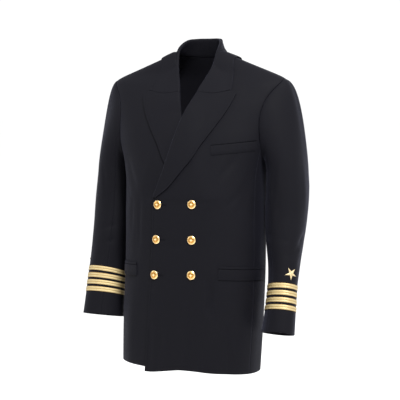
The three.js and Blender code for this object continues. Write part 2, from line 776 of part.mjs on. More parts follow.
// Star: a low five-pointed patch on the outer face of each sleeve, one point down.
function starOn(side, rings, normals) {
  const column = ARM_ANGLES.indexOf(side > 0 ? 50 : 24);
  const spots = [];
  const row = rings.length - 1;
  let up = 0;
  let k = row;
  const want = STRIPE_FROM_CUFF + 4 * STRIPE_WIDTH + 3 * STRIPE_SPACE + 8 + STAR_RADIUS;
  while (up + rings[k][column].distanceTo(rings[k - 1][column]) < want) {
    up += rings[k][column].distanceTo(rings[k - 1][column]);
    k--;
  }
  const t = (want - up) / rings[k][column].distanceTo(rings[k - 1][column]);
  const ring = rings[k].map((p, j) => p.clone().lerp(rings[k - 1][j], t));
  const normal = normals[k].map((p, j) => p.clone().lerp(normals[k - 1][j], t).normalize());
  const above = rings[k - 1][column].clone().sub(rings[k][column]).normalize();
  const surface = (across, high, out) => {
    let j = column;
    let left = across;
    const step = across < 0 ? -1 : 1;
    const count = ring.length;
    for (;;) {
      const next = (j + step + count) % count;
      const length = ring[j].distanceTo(ring[next]);
      if (Math.abs(left) <= length) {
        const w = Math.abs(left) / length;
        const p = ring[j].clone().lerp(ring[next], w);
        const n = normal[j].clone().lerp(normal[next], w).normalize();
        return p.addScaledVector(above, high).addScaledVector(n, out);
      }
      left -= step * length;
      j = next;
    }
  };
  const SCALES = [0.34, 0.67, 1];
  const rimAt = (i, scale) => {
    const a = ((i * 36 - 90) * Math.PI) / 180;
    const r = (i % 2 ? 0.42 : 1) * STAR_RADIUS * scale;
    return [r * Math.cos(a), r * Math.sin(a)];
  };
  const points = [];
  const faces = [];
  const put = (x, y, out) => {
    const p = surface(x, y, out);
    points.push(p.x, p.y, p.z);
    return points.length / 3 - 1;
  };
  const layers = [GAP + 0.4, GAP + 0.4 + BRAID].map((out) => {
    const middle = put(0, 0, out);
    const rims = SCALES.map((scale) => steps(0, 9, 9).map((i) => put(...rimAt(i, scale), out)));
    return { middle, rims };
  });
  const [low, high] = layers;
  for (let i = 0; i < 10; i++) {
    const n = (i + 1) % 10;
    faces.push(high.middle, high.rims[0][i], high.rims[0][n]);
    faces.push(low.middle, low.rims[0][n], low.rims[0][i]);
    for (let s = 0; s < SCALES.length - 1; s++) {
      const [a, b] = [high.rims[s], high.rims[s + 1]];
      faces.push(a[i], b[i], b[n], a[i], b[n], a[n]);
      const [c, d] = [low.rims[s], low.rims[s + 1]];
      faces.push(c[i], d[n], d[i], c[i], c[n], d[n]);
    }
    const top = high.rims[SCALES.length - 1];
    const bottom = low.rims[SCALES.length - 1];
    faces.push(top[i], bottom[i], bottom[n], top[i], bottom[n], top[n]);
  }
  return solid(points, faces);
}

function outward(rings) {
  const normals = gridNormals(rings, true);
  const middle = rings[12].reduce((sum, p) => sum.add(p), vec(0, 0, 0)).divideScalar(rings[12].length);
  const flip = normals[12][0].dot(rings[12][0].clone().sub(middle)) < 0 ? -1 : 1;
  return normals.map((row) => row.map((n) => n.multiplyScalar(flip)));
}

for (const side of [1, -1]) {
  const word = side > 0 ? "left" : "right";
  const smoothRings = sleeveRings(side);
  const normals = outward(smoothRings);
  const rings = smoothRings.map((ring, i) => {
    return ring.map((p, j) => p.clone().addScaledVector(normals[i][j], i < 3 ? 0 : foldHeight(p)));
  });
  add(`sleeve_${word}_top`, sleevePiece(rings, normals, HINDARM_SEAM, FOREARM_SEAM), "cloth");
  add(`sleeve_${word}_under`, sleevePiece(rings, normals, FOREARM_SEAM, HINDARM_SEAM), "cloth");
  for (let k = 0; k < 4; k++) {
    const from = STRIPE_FROM_CUFF + k * (STRIPE_WIDTH + STRIPE_SPACE);
    const made = band(rings, normals, from, from + STRIPE_WIDTH, GAP, BRAID);
    add(`stripe_${word}_${k + 1}`, made, "braid");
  }
  add(`star_${word}`, starOn(side, rings, normals), "braid");
}

// Pockets: bands laid on the panels, given by where they start, their length and their two edges.
function laid(start, length, low, high, count, lift, thick) {
  const [x0, z0] = start;
  const columnsOf = (z) => {
    const from = headingOf(x0, frontY(x0, z), z);
    const fine = evenHeadings(from, Math.PI * 0.62, z, 300, 0, 0);
    const out = [];
    let run = 0;
    let want = 0;
    let before = onForm(fine[0], z);
    for (const heading of fine) {
      const p = onForm(heading, z);
      run += p.distanceTo(before);
      before = p;
      while (out.length <= count && run >= want - 1e-6) {
        out.push(p);
        want += length / count;
      }
    }
    return out;
  };
  const rows = steps(0, 1, high - low > 15 ? 2 : 1).map((t) => {
    return columnsOf(z0).map((p, j) => {
      const z = z0 + mix(low, high, t) + (j / count) * start[2];
      const spot = onForm(headingOf(p.x, p.y, z0), z);
      return spot;
    });
  });
  return (side) => {
    const outer = [];
    const inner = [];
    for (const row of rows) {
      const made = row.map((p) => cloth(vec(side * p.x, p.y, p.z), side, lift));
      inner.push(made.map((m) => sway(m.at)));
      outer.push(made.map((m) => sway(m.at.clone().addScaledVector(m.direction, thick))));
    }
    return sheet(outer, inner, false);
  };
}

const WELT = laid([84, -225, 11], 113, -24, 0, 8, 0.6, 1.6);
const JET = laid([111, -514, -9], 146, -6.2, 0, 9, 0.6, 1.2);
const FLAP = laid([110, -514, -9], 149, -33, -6.7, 9, 0.6, 1.6);
add("breast_welt", WELT(1), "cloth");
for (const side of [1, -1]) {
  const word = side > 0 ? "left" : "right";
  add(`hip_jet_${word}`, JET(side), "cloth");
  add(`hip_flap_${word}`, FLAP(side), "cloth");
}

// Buttons: six domed metal buttons in two columns on the left forepart.
const BUTTON_PROFILE = [
  [0, 0], [8.4, 0], [10, 0.5], [BUTTON_RADIUS, 1.4], [9.9, 2.3], [8, 3.1], [4.6, 4.3], [0, 4.9],
];

function button(x, z) {
  const made = cloth(vec(x, frontY(x, z), z), 1, z > -380 ? 0.9 : 0.55);
  const profile = BUTTON_PROFILE.map(([r, h]) => new THREE.Vector2(r, h));
  const geometry = new THREE.LatheGeometry(profile, 14);
  const turn = new THREE.Quaternion().setFromUnitVectors(vec(0, 1, 0), made.direction);
  geometry.applyQuaternion(turn);
  geometry.translate(...sway(made.at).toArray());
  return geometry;
}

BUTTON_OUTER_X.forEach((x, row) => {
  add(`button_${row + 1}_outer`, button(x, BUTTON_OUTER_Z[row]), "metal", true);
  add(`button_${row + 1}_inner`, button(BUTTON_COLUMN_X, BUTTON_INNER_Z[row]), "metal", true);
});

export default group;
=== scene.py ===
import math
import types
import bpy
import numpy as np
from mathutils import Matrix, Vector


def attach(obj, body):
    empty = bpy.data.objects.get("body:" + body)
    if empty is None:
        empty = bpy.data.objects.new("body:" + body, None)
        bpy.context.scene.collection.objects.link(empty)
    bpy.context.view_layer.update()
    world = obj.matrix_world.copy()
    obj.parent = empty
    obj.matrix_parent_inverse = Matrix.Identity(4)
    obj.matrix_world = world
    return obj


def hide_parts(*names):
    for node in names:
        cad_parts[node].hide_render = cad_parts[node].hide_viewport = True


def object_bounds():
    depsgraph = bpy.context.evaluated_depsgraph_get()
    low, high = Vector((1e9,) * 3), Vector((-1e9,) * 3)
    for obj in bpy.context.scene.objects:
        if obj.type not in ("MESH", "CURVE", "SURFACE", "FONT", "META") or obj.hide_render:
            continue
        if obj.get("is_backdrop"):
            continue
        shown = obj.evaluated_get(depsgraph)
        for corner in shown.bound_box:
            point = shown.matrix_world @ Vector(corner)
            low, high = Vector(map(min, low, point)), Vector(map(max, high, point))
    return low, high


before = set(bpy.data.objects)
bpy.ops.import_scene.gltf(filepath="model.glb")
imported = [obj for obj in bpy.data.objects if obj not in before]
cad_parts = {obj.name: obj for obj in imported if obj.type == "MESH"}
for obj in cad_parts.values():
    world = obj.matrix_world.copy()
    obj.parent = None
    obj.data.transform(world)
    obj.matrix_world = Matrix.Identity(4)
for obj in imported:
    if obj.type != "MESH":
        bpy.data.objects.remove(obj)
cad_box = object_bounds()
bpy.ops.object.select_all(action="DESELECT")

# Camera
# It stands a little to the wearer's left and just above the middle of the jacket,
# three and a half metres away, with a long lens.
AZIMUTH = math.radians(24.65)
ELEVATION = math.radians(4.39)
AIM = (0.0, 0.0, -0.360)
AWAY = 3.496
bpy.ops.object.camera_add(location=(
    AIM[0] + AWAY * math.sin(AZIMUTH) * math.cos(ELEVATION),
    AIM[1] - AWAY * math.cos(AZIMUTH) * math.cos(ELEVATION),
    AIM[2] + AWAY * math.sin(ELEVATION),
))
camera = bpy.context.object
camera.rotation_euler = (math.pi / 2 - ELEVATION, math.radians(0.18), AZIMUTH)
camera.data.lens = 125.4
camera.data.sensor_width = 36
camera.data.shift_x = 0.007
camera.data.shift_y = -0.00625
bpy.context.scene.camera = camera

# Foreparts
# The two front panels of navy barathea, canvassed and pressed over the chest. The left one
# laps over the right one, and is sewn with silk 6 mm in from its front edge. Each ends at
# the roll of its lapel and at the shoulder seam.
MM = 0.001
NECK_X = 72
TIP_X = 233
TIP_Z = -64
HEM_Z = -771
BREAK_Z = -356
GORGE_Z = -97
CLOTH = 1.9
SEWN_IN = 6
SEAM_DEPTH = 0.7
STITCH_OUT = 0.12
STITCH_IN = 0.6
LEFT_STANDS = (3.2, 1)
RIGHT_SINKS = (4.2, 2.4)
SHOULDER_BLEND = 12
SHOULDER_CURVE = 1.04
ARM_MID_Z = -166
ARM_FRONT = 63
ARM_BACK = 61
ARM_EGG = 0.18
SIDE_FROM = 125
SIDE_TO = 215
HEM_FADE = 160


def curve(keys, values):
    keys = np.array(keys, float)
    values = np.array(values, float)
    step = np.diff(keys)
    slope = np.diff(values) / step
    mixed = (slope[:-1] * step[1:] + slope[1:] * step[:-1]) / (step[1:] + step[:-1])
    inner = np.where(slope[:-1] * slope[1:] < 0, 0.3 * mixed, mixed)
    tangent = np.concatenate([slope[:1], inner, slope[-1:]])

    def at(x):
        x = np.asarray(x, float)
        i = np.clip(np.searchsorted(keys, x, side="left") - 1, 0, len(step) - 1)
        t = np.clip((x - keys[i]) / step[i], 0, 1)
        a = 2 * t ** 3 - 3 * t ** 2 + 1
        b = (t ** 3 - 2 * t ** 2 + t) * step[i] * tangent[i]
        c = (t ** 3 - t ** 2) * step[i] * tangent[i + 1]
        inside = a * values[i] + b + (1 - a) * values[i + 1] + c
        low = values[0] + (x - keys[0]) * tangent[0]
        high = values[-1] + (x - keys[-1]) * tangent[-1]
        return np.where(x <= keys[0], low, np.where(x >= keys[-1], high, inside))

    return at


def columns(names, rows):
    keys = [row[0] for row in rows]
    made = types.SimpleNamespace()
    for k, name in enumerate(names.split()):
        setattr(made, name, curve(keys, [row[k + 1] for row in rows]))
    return made


def run_of(line):
    steps = np.linalg.norm(np.diff(line, axis=0), axis=1)
    return np.concatenate([[0], np.cumsum(steps)])


def read_at(places, run, line):
    return np.stack([np.interp(places, run, line[:, i]) for i in range(3)], -1)


torso = columns("half front back mid shift round round_back", [
    [-800, 179, -140, 80, -26, -7, 2.35, 2.3],
    [-650, 182, -141, 86, -20, -2.5, 2.35, 2.3],
    [-540, 181, -142, 92, -14, 1, 2.35, 2.3],
    [-450, 180, -140, 97, -10, 1.5, 2.4, 2.3],
    [-400, 180, -139, 101, -8, 1, 2.4, 2.3],
    [-350, 180, -136, 105, -6, 1, 2.45, 2.3],
    [-300, 182, -130, 110, -2, 0, 2.5, 2.3],
    [-268, 187, -124, 112, 3, 0, 2.55, 2.35],
    [-213, 204, -109, 114, 8, 0, 2.65, 2.35],
    [-160, 218, -89, 114, 11, 0, 2.6, 2.25],
    [-112, 228, -64, 110, 12, 1.5, 2.75, 2.15],
    [-80, 234, -42, 105, 12, 2.5, 2.95, 2.1],
    [-50, 236, -20, 99, 12, 2, 2.6, 2.05],
    [-20, 240, -9, 89, 12, 0.7, 2.2, 2],
    [0, 240, -2, 82, 12, 0, 2, 2],
    [30, 240, 4, 74, 12, 0, 2, 2],
])
roll_line = columns("fold edge", [
    [-361, -60.5, -60],
    [-345, -56, -40],
    [-328, -49, -17],
    [-311, -42, -1.5],
    [-283, -32, 21],
    [-261, -26, 39],
    [-225, -17, 60],
    [-183, -6, 88],
    [-144, 6, 111],
    [-98.5, 22, 126.5],
    [-80, 29, 128],
])
front_edge = columns("x", [[-800, -79], [-650, -72.5], [-530, -66.5], [-460, -64], [-356, -61.5]])
neck_seam = columns("x", [
    [-97, 30],
    [-80, 36],
    [-64, 42],
    [-50, 48],
    [-30, 55],
    [-15, 61],
    [0, 68],
])
side_seams = columns("front back", [
    [-800, -64, 34],
    [-540, -56, 40],
    [-400, -52, 44],
    [-250, -43, 46],
    [-220, -42, 47.5],
])

# Creases of the worn cloth: start, end, height out of the cloth and half width.
CREASES = [
    [[-104, -112, -330], [-112, -118, -520], -2.2, 13],
    [[98, -128, -540], [102, -124, -690], -2, 14],
    [[-120, -108, -560], [-128, -104, -790], 2.6, 18],
    [[150, -88, -600], [146, -92, -790], 2.8, 20],
    [[172, -60, -280], [150, -92, -400], -2.4, 16],
    [[-172, -60, -280], [-152, -90, -390], -2.2, 15],
    [[70, 104, -150], [58, 98, -420], -2.4, 20],
    [[-66, 104, -160], [-60, 98, -400], -2.2, 20],
    [[110, 84, -430], [96, 78, -720], 2.6, 22],
    [[-104, 84, -470], [-98, 78, -740], 2.8, 22],
    [[-214, -34, -250], [-222, -44, -500], -3.4, 15],
    [[-262, -14, -380], [-250, -30, -520], 2.4, 13],
    [[262, -30, -200], [268, -34, -420], -2.2, 15],
    [[283, 20, -440], [262, -50, -500], -3.2, 14],
    [[214, -40, -300], [222, -50, -440], 2.6, 13],
    [[270, 60, -330], [262, 52, -520], -3, 16],
    [[-266, 62, -330], [-258, 52, -500], -2.6, 16],
    [[90, -131, -540], [89, -130.5, -634], -3.4, 6],
    [[226, -40, -216], [221, -46, -388], -2, 5],
    [[240, -44, -236], [234, -52, -350], 1.4, 6],
    [[286, 6, -446], [268, -30, -470], -2.6, 5],
    [[287, -4, -474], [270, -34, -486], 2, 6],
    [[-243, -40, -262], [-236, -52, -404], -1.8, 6],
    [[-60, -136, -664], [-66, -132, -786], -1.5, 7],
    [[-101, -121, -345], [-103, -124, -480], -2.0, 4.5],
    [[-126, -108, -350], [-130, -108, -450], -1.7, 6],
    [[98, -131, -552], [95, -131, -640], -2.3, 5],
    [[-36, -141, -474], [34, -143, -464], -1.2, 9],
    [[58, -139, -386], [122, -116, -334], 1.4, 15],
    [[150, -90, -246], [108, -116, -306], -2.3, 9],
    [[-152, -88, -262], [-112, -114, -334], -2.6, 9],
    [[164, -78, -322], [126, -112, -374], -1.9, 8],
    [[-160, -80, -312], [-134, -102, -352], -1.7, 7],
    [[128, -112, -620], [134, -107, -795], -2.9, 12],
    [[-32, -141, -620], [-38, -140, -780], -1.7, 14],
    [[40, -142, -596], [36, -141, -784], 1.7, 16],
    [[204, -42, -438], [264, -46, -456], -3.1, 7],
    [[202, -40, -472], [258, -50, -494], -2.6, 6],
    [[212, -36, -412], [270, -28, -421], -2.0, 7],
    [[284, -8, -498], [248, -50, -542], -2.3, 8],
    [[287, 10, -246], [290, 6, -402], 2.0, 12],
    [[268, 52, -468], [262, 44, -544], 3.7, 9],
    [[214, 60, -420], [262, 56, -452], 2.5, 8],
    [[-208, -46, -430], [-264, -42, -449], -2.9, 7],
    [[-206, -48, -467], [-262, -50, -487], -2.5, 6],
    [[-212, -34, -398], [-266, -26, -403], -1.9, 7],
    [[-284, -4, -256], [-286, -8, -420], 2.2, 12],
    [[-224, -50, -300], [-232, -54, -446], -2.5, 8],
    [[-262, 56, -440], [-222, 58, -474], 2.6, 8],
    [[30, 112, -124], [46, 108, -262], -2.0, 12],
    [[-92, 92, -378], [-56, 99, -442], -2.2, 9],
    [[84, 94, -356], [38, 101, -432], -1.9, 9],
    [[4, 84, -598], [-6, 80, -784], 2.2, 18],
    [[-150, 64, -300], [-104, 86, -356], -2.0, 9],
    [[148, 66, -318], [112, 84, -384], -2.3, 8],
]


def half(z):
    down = z / TIP_Z
    shoulder = NECK_X + (TIP_X - NECK_X) * np.sign(down) * np.abs(down) ** SHOULDER_CURVE
    both = np.exp(-shoulder / SHOULDER_BLEND) + np.exp(-torso.half(z) / SHOULDER_BLEND)
    return -SHOULDER_BLEND * np.log(both)


def level(x, y, z):
    middle = torso.mid(z)
    n = np.where(y < middle, torso.round(z), torso.round_back(z))
    deep = np.where(y < middle, middle - torso.front(z), torso.back(z) - middle)
    return (np.abs(x / half(z)) ** n + np.abs((y - middle) / deep) ** n) ** (1 / n) - 1


def unit(v):
    return v / np.maximum(np.linalg.norm(v, axis=-1, keepdims=True), 1e-9)


def slope_at(p):
    x, y, z = p[..., 0], p[..., 1], p[..., 2]
    e = 0.4
    return np.stack([
        level(x + e, y, z) - level(x - e, y, z),
        level(x, y + e, z) - level(x, y - e, z),
        level(x, y, z + e) - level(x, y, z - e),
    ], -1) / (2 * e)


def front_y(x, z):
    n = torso.round(z)
    part = np.maximum(0, 1 - np.abs(x / half(z)) ** n)
    return torso.mid(z) - (torso.mid(z) - torso.front(z)) * part ** (1 / n)


def side_x(y, z):
    middle = torso.mid(z)
    n = np.where(y < middle, torso.round(z), torso.round_back(z))
    deep = np.where(y < middle, middle - torso.front(z), torso.back(z) - middle)
    part = np.maximum(0, 1 - np.abs((y - middle) / deep) ** n)
    return half(z) * part ** (1 / n)


def heading_of(x, y, z):
    return np.arctan2(x, torso.mid(z) - y)


def on_form(heading, z):
    heading, z = np.broadcast_arrays(np.asarray(heading, float), np.asarray(z, float))
    forward = np.cos(heading) > 0
    n = np.where(forward, torso.round(z), torso.round_back(z))
    deep = np.where(forward, torso.mid(z) - torso.front(z), torso.back(z) - torso.mid(z))
    across = np.abs(np.sin(heading) / half(z)) ** n
    r = (across + np.abs(np.cos(heading) / deep) ** n) ** (-1 / n)
    return np.stack([r * np.sin(heading), torso.mid(z) - r * np.cos(heading), z], -1)


def armhole(degrees):
    a = np.radians(degrees)
    z = ARM_MID_Z + (TIP_Z - ARM_MID_Z) * np.cos(a)
    middle = 6 + 6 * (z + 268) / 204
    deep = np.where(np.sin(a) > 0, ARM_FRONT, ARM_BACK)
    y = middle - deep * np.sin(a) * (1 - ARM_EGG * np.cos(a))
    return np.stack([side_x(y, z), y, z], -1)


def ease(start, end, x):
    t = np.clip((np.asarray(x, float) - start) / (end - start), 0, 1)
    return t * t * (3 - 2 * t)


def mix(a, b, t):
    return a + (b - a) * t


def overlap(side, x, z):
    fold = np.where(z > BREAK_Z - 4, roll_line.fold(z), front_edge.x(z))
    fade = 1 - ease(-145, -104, z)
    near = ease(-352, -362, z)
    if side > 0:
        inner = np.maximum(14, 12 - fold)
        t = np.clip((x - inner) / 50, 0, 1)
        return mix(*LEFT_STANDS, near) * fade * (1 - t * t * (3 - 2 * t))
    t = np.clip((x - fold + 52) / 47, 0, 1)
    return -mix(*RIGHT_SINKS, near) * fade * t * t * (3 - 2 * t)


hem_left = columns("drop", [
    [-40, 12],
    [-31, 12],
    [-15, 8],
    [0, 3.5],
    [12, 1],
    [28, 2],
    [42, 5],
    [60, 8],
    [80, 12],
    [110, 12],
    [180, 8],
])
hem_right = columns("drop", [
    [-180, 8],
    [-130, 3],
    [-90, -1],
    [-75, -2.5],
    [-60, -2],
    [-45, 0],
    [40, 0],
])


def hang(p, side):
    heading = heading_of(p[..., 0], p[..., 1], p[..., 2])
    degrees = np.degrees(heading)
    left = (p[..., 0] > 0) if side == 0 else side > 0
    drop = np.where(left, hem_left.drop(degrees), hem_right.drop(degrees))
    fade = 1 - ease(HEM_Z, HEM_Z + HEM_FADE, p[..., 2])
    return on_form(heading, p[..., 2] - drop * fade)


def crease_height(p):
    total = np.zeros(p.shape[:-1])
    for start, end, height, width in CREASES:
        start = np.array(start, float)
        line = np.array(end, float) - start
        t = np.clip(((p - start) @ line) / (line @ line), 0, 1)
        away = np.linalg.norm(p - start - t[..., None] * line, axis=-1)
        total += height * np.sin(math.pi * t) ** 0.7 * np.exp(-(away / width) ** 2)
    return total


def on_cloth(p, side, out):
    direction = unit(slope_at(p))
    stand = overlap(side, p[..., 0], p[..., 2]) if side else 0
    lift = stand + crease_height(p) + out
    return p + direction * np.asarray(lift)[..., None], direction


def sway(p):
    moved = p.copy()
    moved[..., 0] += torso.shift(p[..., 2])
    return moved


def along_row(start, end, z, places):
    fine = np.linspace(start, end, 161)
    run = run_of(on_form(fine, z))
    return np.interp(places(run[-1]), run, fine)


def edge_places(first, last, count):
    def places(total):
        near = np.array([0, 0.7, 1.6, 3, 5])
        inner = np.linspace(first + 8.5, total - last - 8.5, count)
        return np.concatenate([first + near, inner, total - last - near[::-1]])

    return places


def seam_dip(count, first, last):
    dip = np.zeros(count)
    depth = np.array([1, 0.72, 0.38, 0.12, 0.02])
    dip[:5] -= first * depth
    dip[-5:] -= last * depth[::-1]
    return dip


def cloth_coordinates(points):
    across = np.linalg.norm(np.diff(points, axis=1), axis=-1)
    along = np.linalg.norm(np.diff(points, axis=0), axis=-1)
    u = np.concatenate([np.zeros((len(points), 1)), np.cumsum(across, 1)], 1)
    v = np.concatenate([np.zeros((1, points.shape[1])), np.cumsum(along, 0)], 0)
    u -= u[:, [points.shape[1] // 2]]
    return np.stack([u, v], -1)


def named(name):
    piece = bpy.context.object
    piece.name = name
    piece.data.name = name
    return piece


def put_on(piece, material):
    piece.data.materials.append(material)
    piece.select_set(False)
    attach(piece, "root")


def spread_grid(name, points):
    rows, count = points.shape[:2]
    bpy.ops.mesh.primitive_grid_add(x_subdivisions=count - 1, y_subdivisions=rows - 1, size=2)
    piece = named(name)
    place = np.empty(len(piece.data.vertices) * 3)
    piece.data.vertices.foreach_get("co", place)
    place = place.reshape(-1, 3)
    i = np.rint((place[:, 1] + 1) / 2 * (rows - 1)).astype(int)
    j = np.rint((place[:, 0] + 1) / 2 * (count - 1)).astype(int)
    piece.data.vertices.foreach_set("co", points[i, j].ravel())
    return piece, i, j


def cut_cloth(name, points, facing, wall, centred=False, soft=0.0006, ring=False):
    points = np.asarray(points, float) * MM
    normal = np.cross(np.gradient(points, axis=1), np.gradient(points, axis=0))
    if np.sum(normal * facing) < 0:
        points = points[:, ::-1]
    piece, i, j = spread_grid(name, points)
    mesh = piece.data
    flat = cloth_coordinates(points)[i, j]
    corner = np.empty(len(mesh.loops), int)
    mesh.loops.foreach_get("vertex_index", corner)
    mesh.uv_layers[0].name = "cloth"
    mesh.uv_layers[0].data.foreach_set("uv", flat[corner].ravel())
    mesh.update()
    if ring:
        bpy.ops.object.mode_set(mode="EDIT")
        bpy.ops.mesh.select_all(action="SELECT")
        bpy.ops.mesh.remove_doubles(threshold=0.000001)
        bpy.ops.object.mode_set(mode="OBJECT")
    body = piece.modifiers.new("wall", "SOLIDIFY")
    body.thickness = wall * MM
    body.offset = 0 if centred else -1
    edge = piece.modifiers.new("turned_edge", "BEVEL")
    edge.width = soft
    edge.segments = 2
    edge.limit_method = "ANGLE"
    edge.angle_limit = math.radians(55)
    bpy.ops.object.modifier_apply(modifier="wall")
    bpy.ops.object.modifier_apply(modifier="turned_edge")
    bpy.ops.object.shade_smooth_by_angle(angle=math.radians(50))
    return piece


def new_look(name, values):
    material = bpy.data.materials.new(name)
    material.use_nodes = True
    shader = material.node_tree.nodes["Principled BSDF"]
    for socket, value in values.items():
        shader.inputs[socket].default_value = value
    return material, shader


def add_node(material, kind, values=()):
    node = material.node_tree.nodes.new(kind)
    for socket, value in dict(values).items():
        node.inputs[socket].default_value = value
    return node


def add_ramp(material, stops):
    ramp = add_node(material, "ShaderNodeValToRGB")
    for k, (where, colour) in enumerate(stops):
        stop = ramp.color_ramp.elements[k] if k < 2 else ramp.color_ramp.elements.new(where)
        stop.position = where
        stop.color = (*colour, 1)
    return ramp


def add_mix(material, values, blend="MIX"):
    both = material.node_tree.nodes.new("ShaderNodeMix")
    both.data_type = "RGBA"
    both.blend_type = blend
    for socket, value in values.items():
        both.inputs[socket].default_value = value
    return both


def add_cloth_map(material):
    place = add_node(material, "ShaderNodeUVMap")
    place.uv_map = "cloth"
    return place


def wire(material, *wires):
    for giver, output, taker, socket in wires:
        material.node_tree.links.new(giver.outputs[output], taker.inputs[socket])


barathea, shader = new_look("navy_barathea", {
    "Sheen Weight": 0.048,
    "Sheen Roughness": 0.38,
    "Sheen Tint": (0.60, 0.62, 0.90, 1),
    "Specular IOR Level": 0.08,
})
place = add_cloth_map(barathea)
turn = add_node(barathea, "ShaderNodeMapping", {"Rotation": (0, 0, math.radians(-58))})
twill = add_node(barathea, "ShaderNodeTexWave", {
    "Scale": 420, "Distortion": 1.2, "Detail": 2, "Detail Scale": 3,
})
yarn = add_node(barathea, "ShaderNodeTexNoise", {"Scale": 1600, "Detail": 3})
spot = add_node(barathea, "ShaderNodeTexCoord")
cloud = add_node(barathea, "ShaderNodeTexNoise", {"Scale": 14, "Detail": 5, "Roughness": 0.6})
shade = add_mix(barathea, {
    "A": (0.0015, 0.0014, 0.0028, 1), "B": (0.0031, 0.0030, 0.0050, 1),
})
rib = add_mix(barathea, {"Factor": 0.35}, "MULTIPLY")
dull = add_node(barathea, "ShaderNodeMapRange", {"To Min": 0.62, "To Max": 0.86})
both = add_node(barathea, "ShaderNodeMath")
both.operation = "ADD"
weave = add_node(barathea, "ShaderNodeBump", {"Strength": 0.35, "Distance": 0.00018})
wire(
    barathea,
    (place, "UV", turn, "Vector"),
    (turn, "Vector", twill, "Vector"),
    (place, "UV", yarn, "Vector"),
    (spot, "Object", cloud, "Vector"),
    (cloud, "Fac", shade, "Factor"),
    (shade, "Result", rib, "A"),
    (twill, "Color", rib, "B"),
    (rib, "Result", shader, "Base Color"),
    (cloud, "Fac", dull, "Value"),
    (dull, "Result", shader, "Roughness"),
    (twill, "Fac", both, 0),
    (yarn, "Fac", both, 1),
    (both, "Value", weave, "Height"),
    (weave, "Normal", shader, "Normal"),
)


def thread_look(name, values, bands, wave, dark, light, raised):
    material, shader = new_look(name, values)
    spot = add_node(material, "ShaderNodeTexCoord")
    twist = add_node(material, "ShaderNodeTexWave", wave)
    twist.bands_direction = bands
    tint = add_ramp(material, [(0, dark), (1, light)])
    bump = add_node(material, "ShaderNodeBump", raised)
    wire(
        material,
        (spot, "Object", twist, "Vector"),
        (twist, "Fac", tint, "Fac"),
        (tint, "Color", shader, "Base Color"),
        (twist, "Fac", bump, "Height"),
        (bump, "Normal", shader, "Normal"),
    )
    return material


navy_silk = thread_look(
    "navy_silk_thread", {"Roughness": 0.6, "Specular IOR Level": 0.06},
    "DIAGONAL", {"Scale": 700},
    (0.0008, 0.0008, 0.0018), (0.0028, 0.0028, 0.0052),
    {"Strength": 0.4, "Distance": 0.0001},
)


def sewn_line(name, path, facing, pitch=3.4, thick=0.22):
    run = run_of(path)
    count = int(run[-1] / pitch)
    fine = np.linspace(0, count * pitch, count * 6 + 1)
    at = read_at(fine, run, path)
    out = unit(read_at(fine, run, facing))
    wave = 0.5 + 0.5 * np.cos(2 * math.pi * fine / pitch)
    at += out * (STITCH_OUT - STITCH_IN * wave ** 3)[:, None]
    along = unit(np.gradient(at, axis=0))
    across = unit(np.cross(along, out))
    up = np.cross(across, along)
    thin = np.full((len(fine), 1, 1), thick)
    thin[[0, -1]] = 0.0
    a = np.radians(np.arange(0, 361, 60))[None, :, None]
    ring = at[:, None] + thin * (across[:, None] * np.cos(a) + up[:, None] * np.sin(a))
    thread, _, _ = spread_grid(name, ring * MM)
    thread.data.update()
    bpy.ops.object.mode_set(mode="EDIT")
    bpy.ops.mesh.select_all(action="SELECT")
    bpy.ops.mesh.remove_doubles(threshold=0.000002)
    bpy.ops.mesh.normals_make_consistent(inside=False)
    bpy.ops.object.mode_set(mode="OBJECT")
    bpy.ops.object.shade_smooth()
    put_on(thread, navy_silk)
    return thread


def edge_sewing(name, rows):
    path = np.array([read_at(SEWN_IN, run_of(row[::-1]), row[::-1]) for row in rows])
    facing = unit(slope_at(path))
    return sewn_line(name, sway(path + facing * CLOTH / 2), facing)


def fore_edge(z):
    roll = roll_line.fold(z) + mix(1.7, 3, ease(-330, -180, z)) + 5.2
    upper = np.where(z > GORGE_Z, neck_seam.x(z), roll)
    return np.where(z < BREAK_Z, front_edge.x(z), upper)


def panel_rows(from_degrees):
    around = np.linspace(from_degrees, 0 if from_degrees < 180 else 360, 44)
    top = float(armhole(from_degrees)[2])
    lower = np.concatenate([
        [HEM_Z, HEM_Z + 0.7, HEM_Z + 1.6, HEM_Z + 3],
        np.linspace(HEM_Z + 6, BREAK_Z - 0.1, 80),
        np.linspace(BREAK_Z + 0.1, top, 18),
    ])
    rows = [(z, "seam", 0) for z in lower]
    rows += [(float(armhole(a)[2]), "arm", a) for a in around[1:]]
    shoulder = np.concatenate([np.linspace(-62, -6, 22), [-4.6, -3, -2, -1.4]])
    return rows + [(z, "shoulder", 0) for z in shoulder]


def outer_end(z, kind, degrees, seam):
    if kind == "seam":
        y = seam(z)
        return heading_of(side_x(y, z), y, z)
    if kind == "arm":
        return heading_of(*armhole(degrees))
    return math.pi / 2


def fore_row(z, kind, degrees):
    x = fore_edge(z)
    start = heading_of(x, front_y(x, z), z)
    end = outer_end(z, kind, degrees, side_seams.front)
    first = 0.4 if z > GORGE_Z else 0
    return on_form(along_row(start, end, z, edge_places(first, -0.06, 58)), z)


def body_panel(name, rows, side, mirror, first=SEAM_DEPTH):
    points = np.array(rows)
    if mirror:
        points = points * np.array([-1, 1, 1])
    dip = seam_dip(points.shape[1], first, SEAM_DEPTH)[None, :]
    dip = np.broadcast_to(dip, points.shape[:2])
    at, direction = on_cloth(hang(points, side), side, dip)
    piece = cut_cloth(name, sway(at), direction, CLOTH)
    put_on(piece, barathea)
    return piece


FORE_ROWS = [fore_row(*row) for row in panel_rows(SIDE_FROM)]
forepart_left = body_panel("forepart_left", FORE_ROWS, 1, False, first=0)
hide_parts("front_left")
forepart_right = body_panel("forepart_right", FORE_ROWS, -1, True, first=0)
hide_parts("front_right")

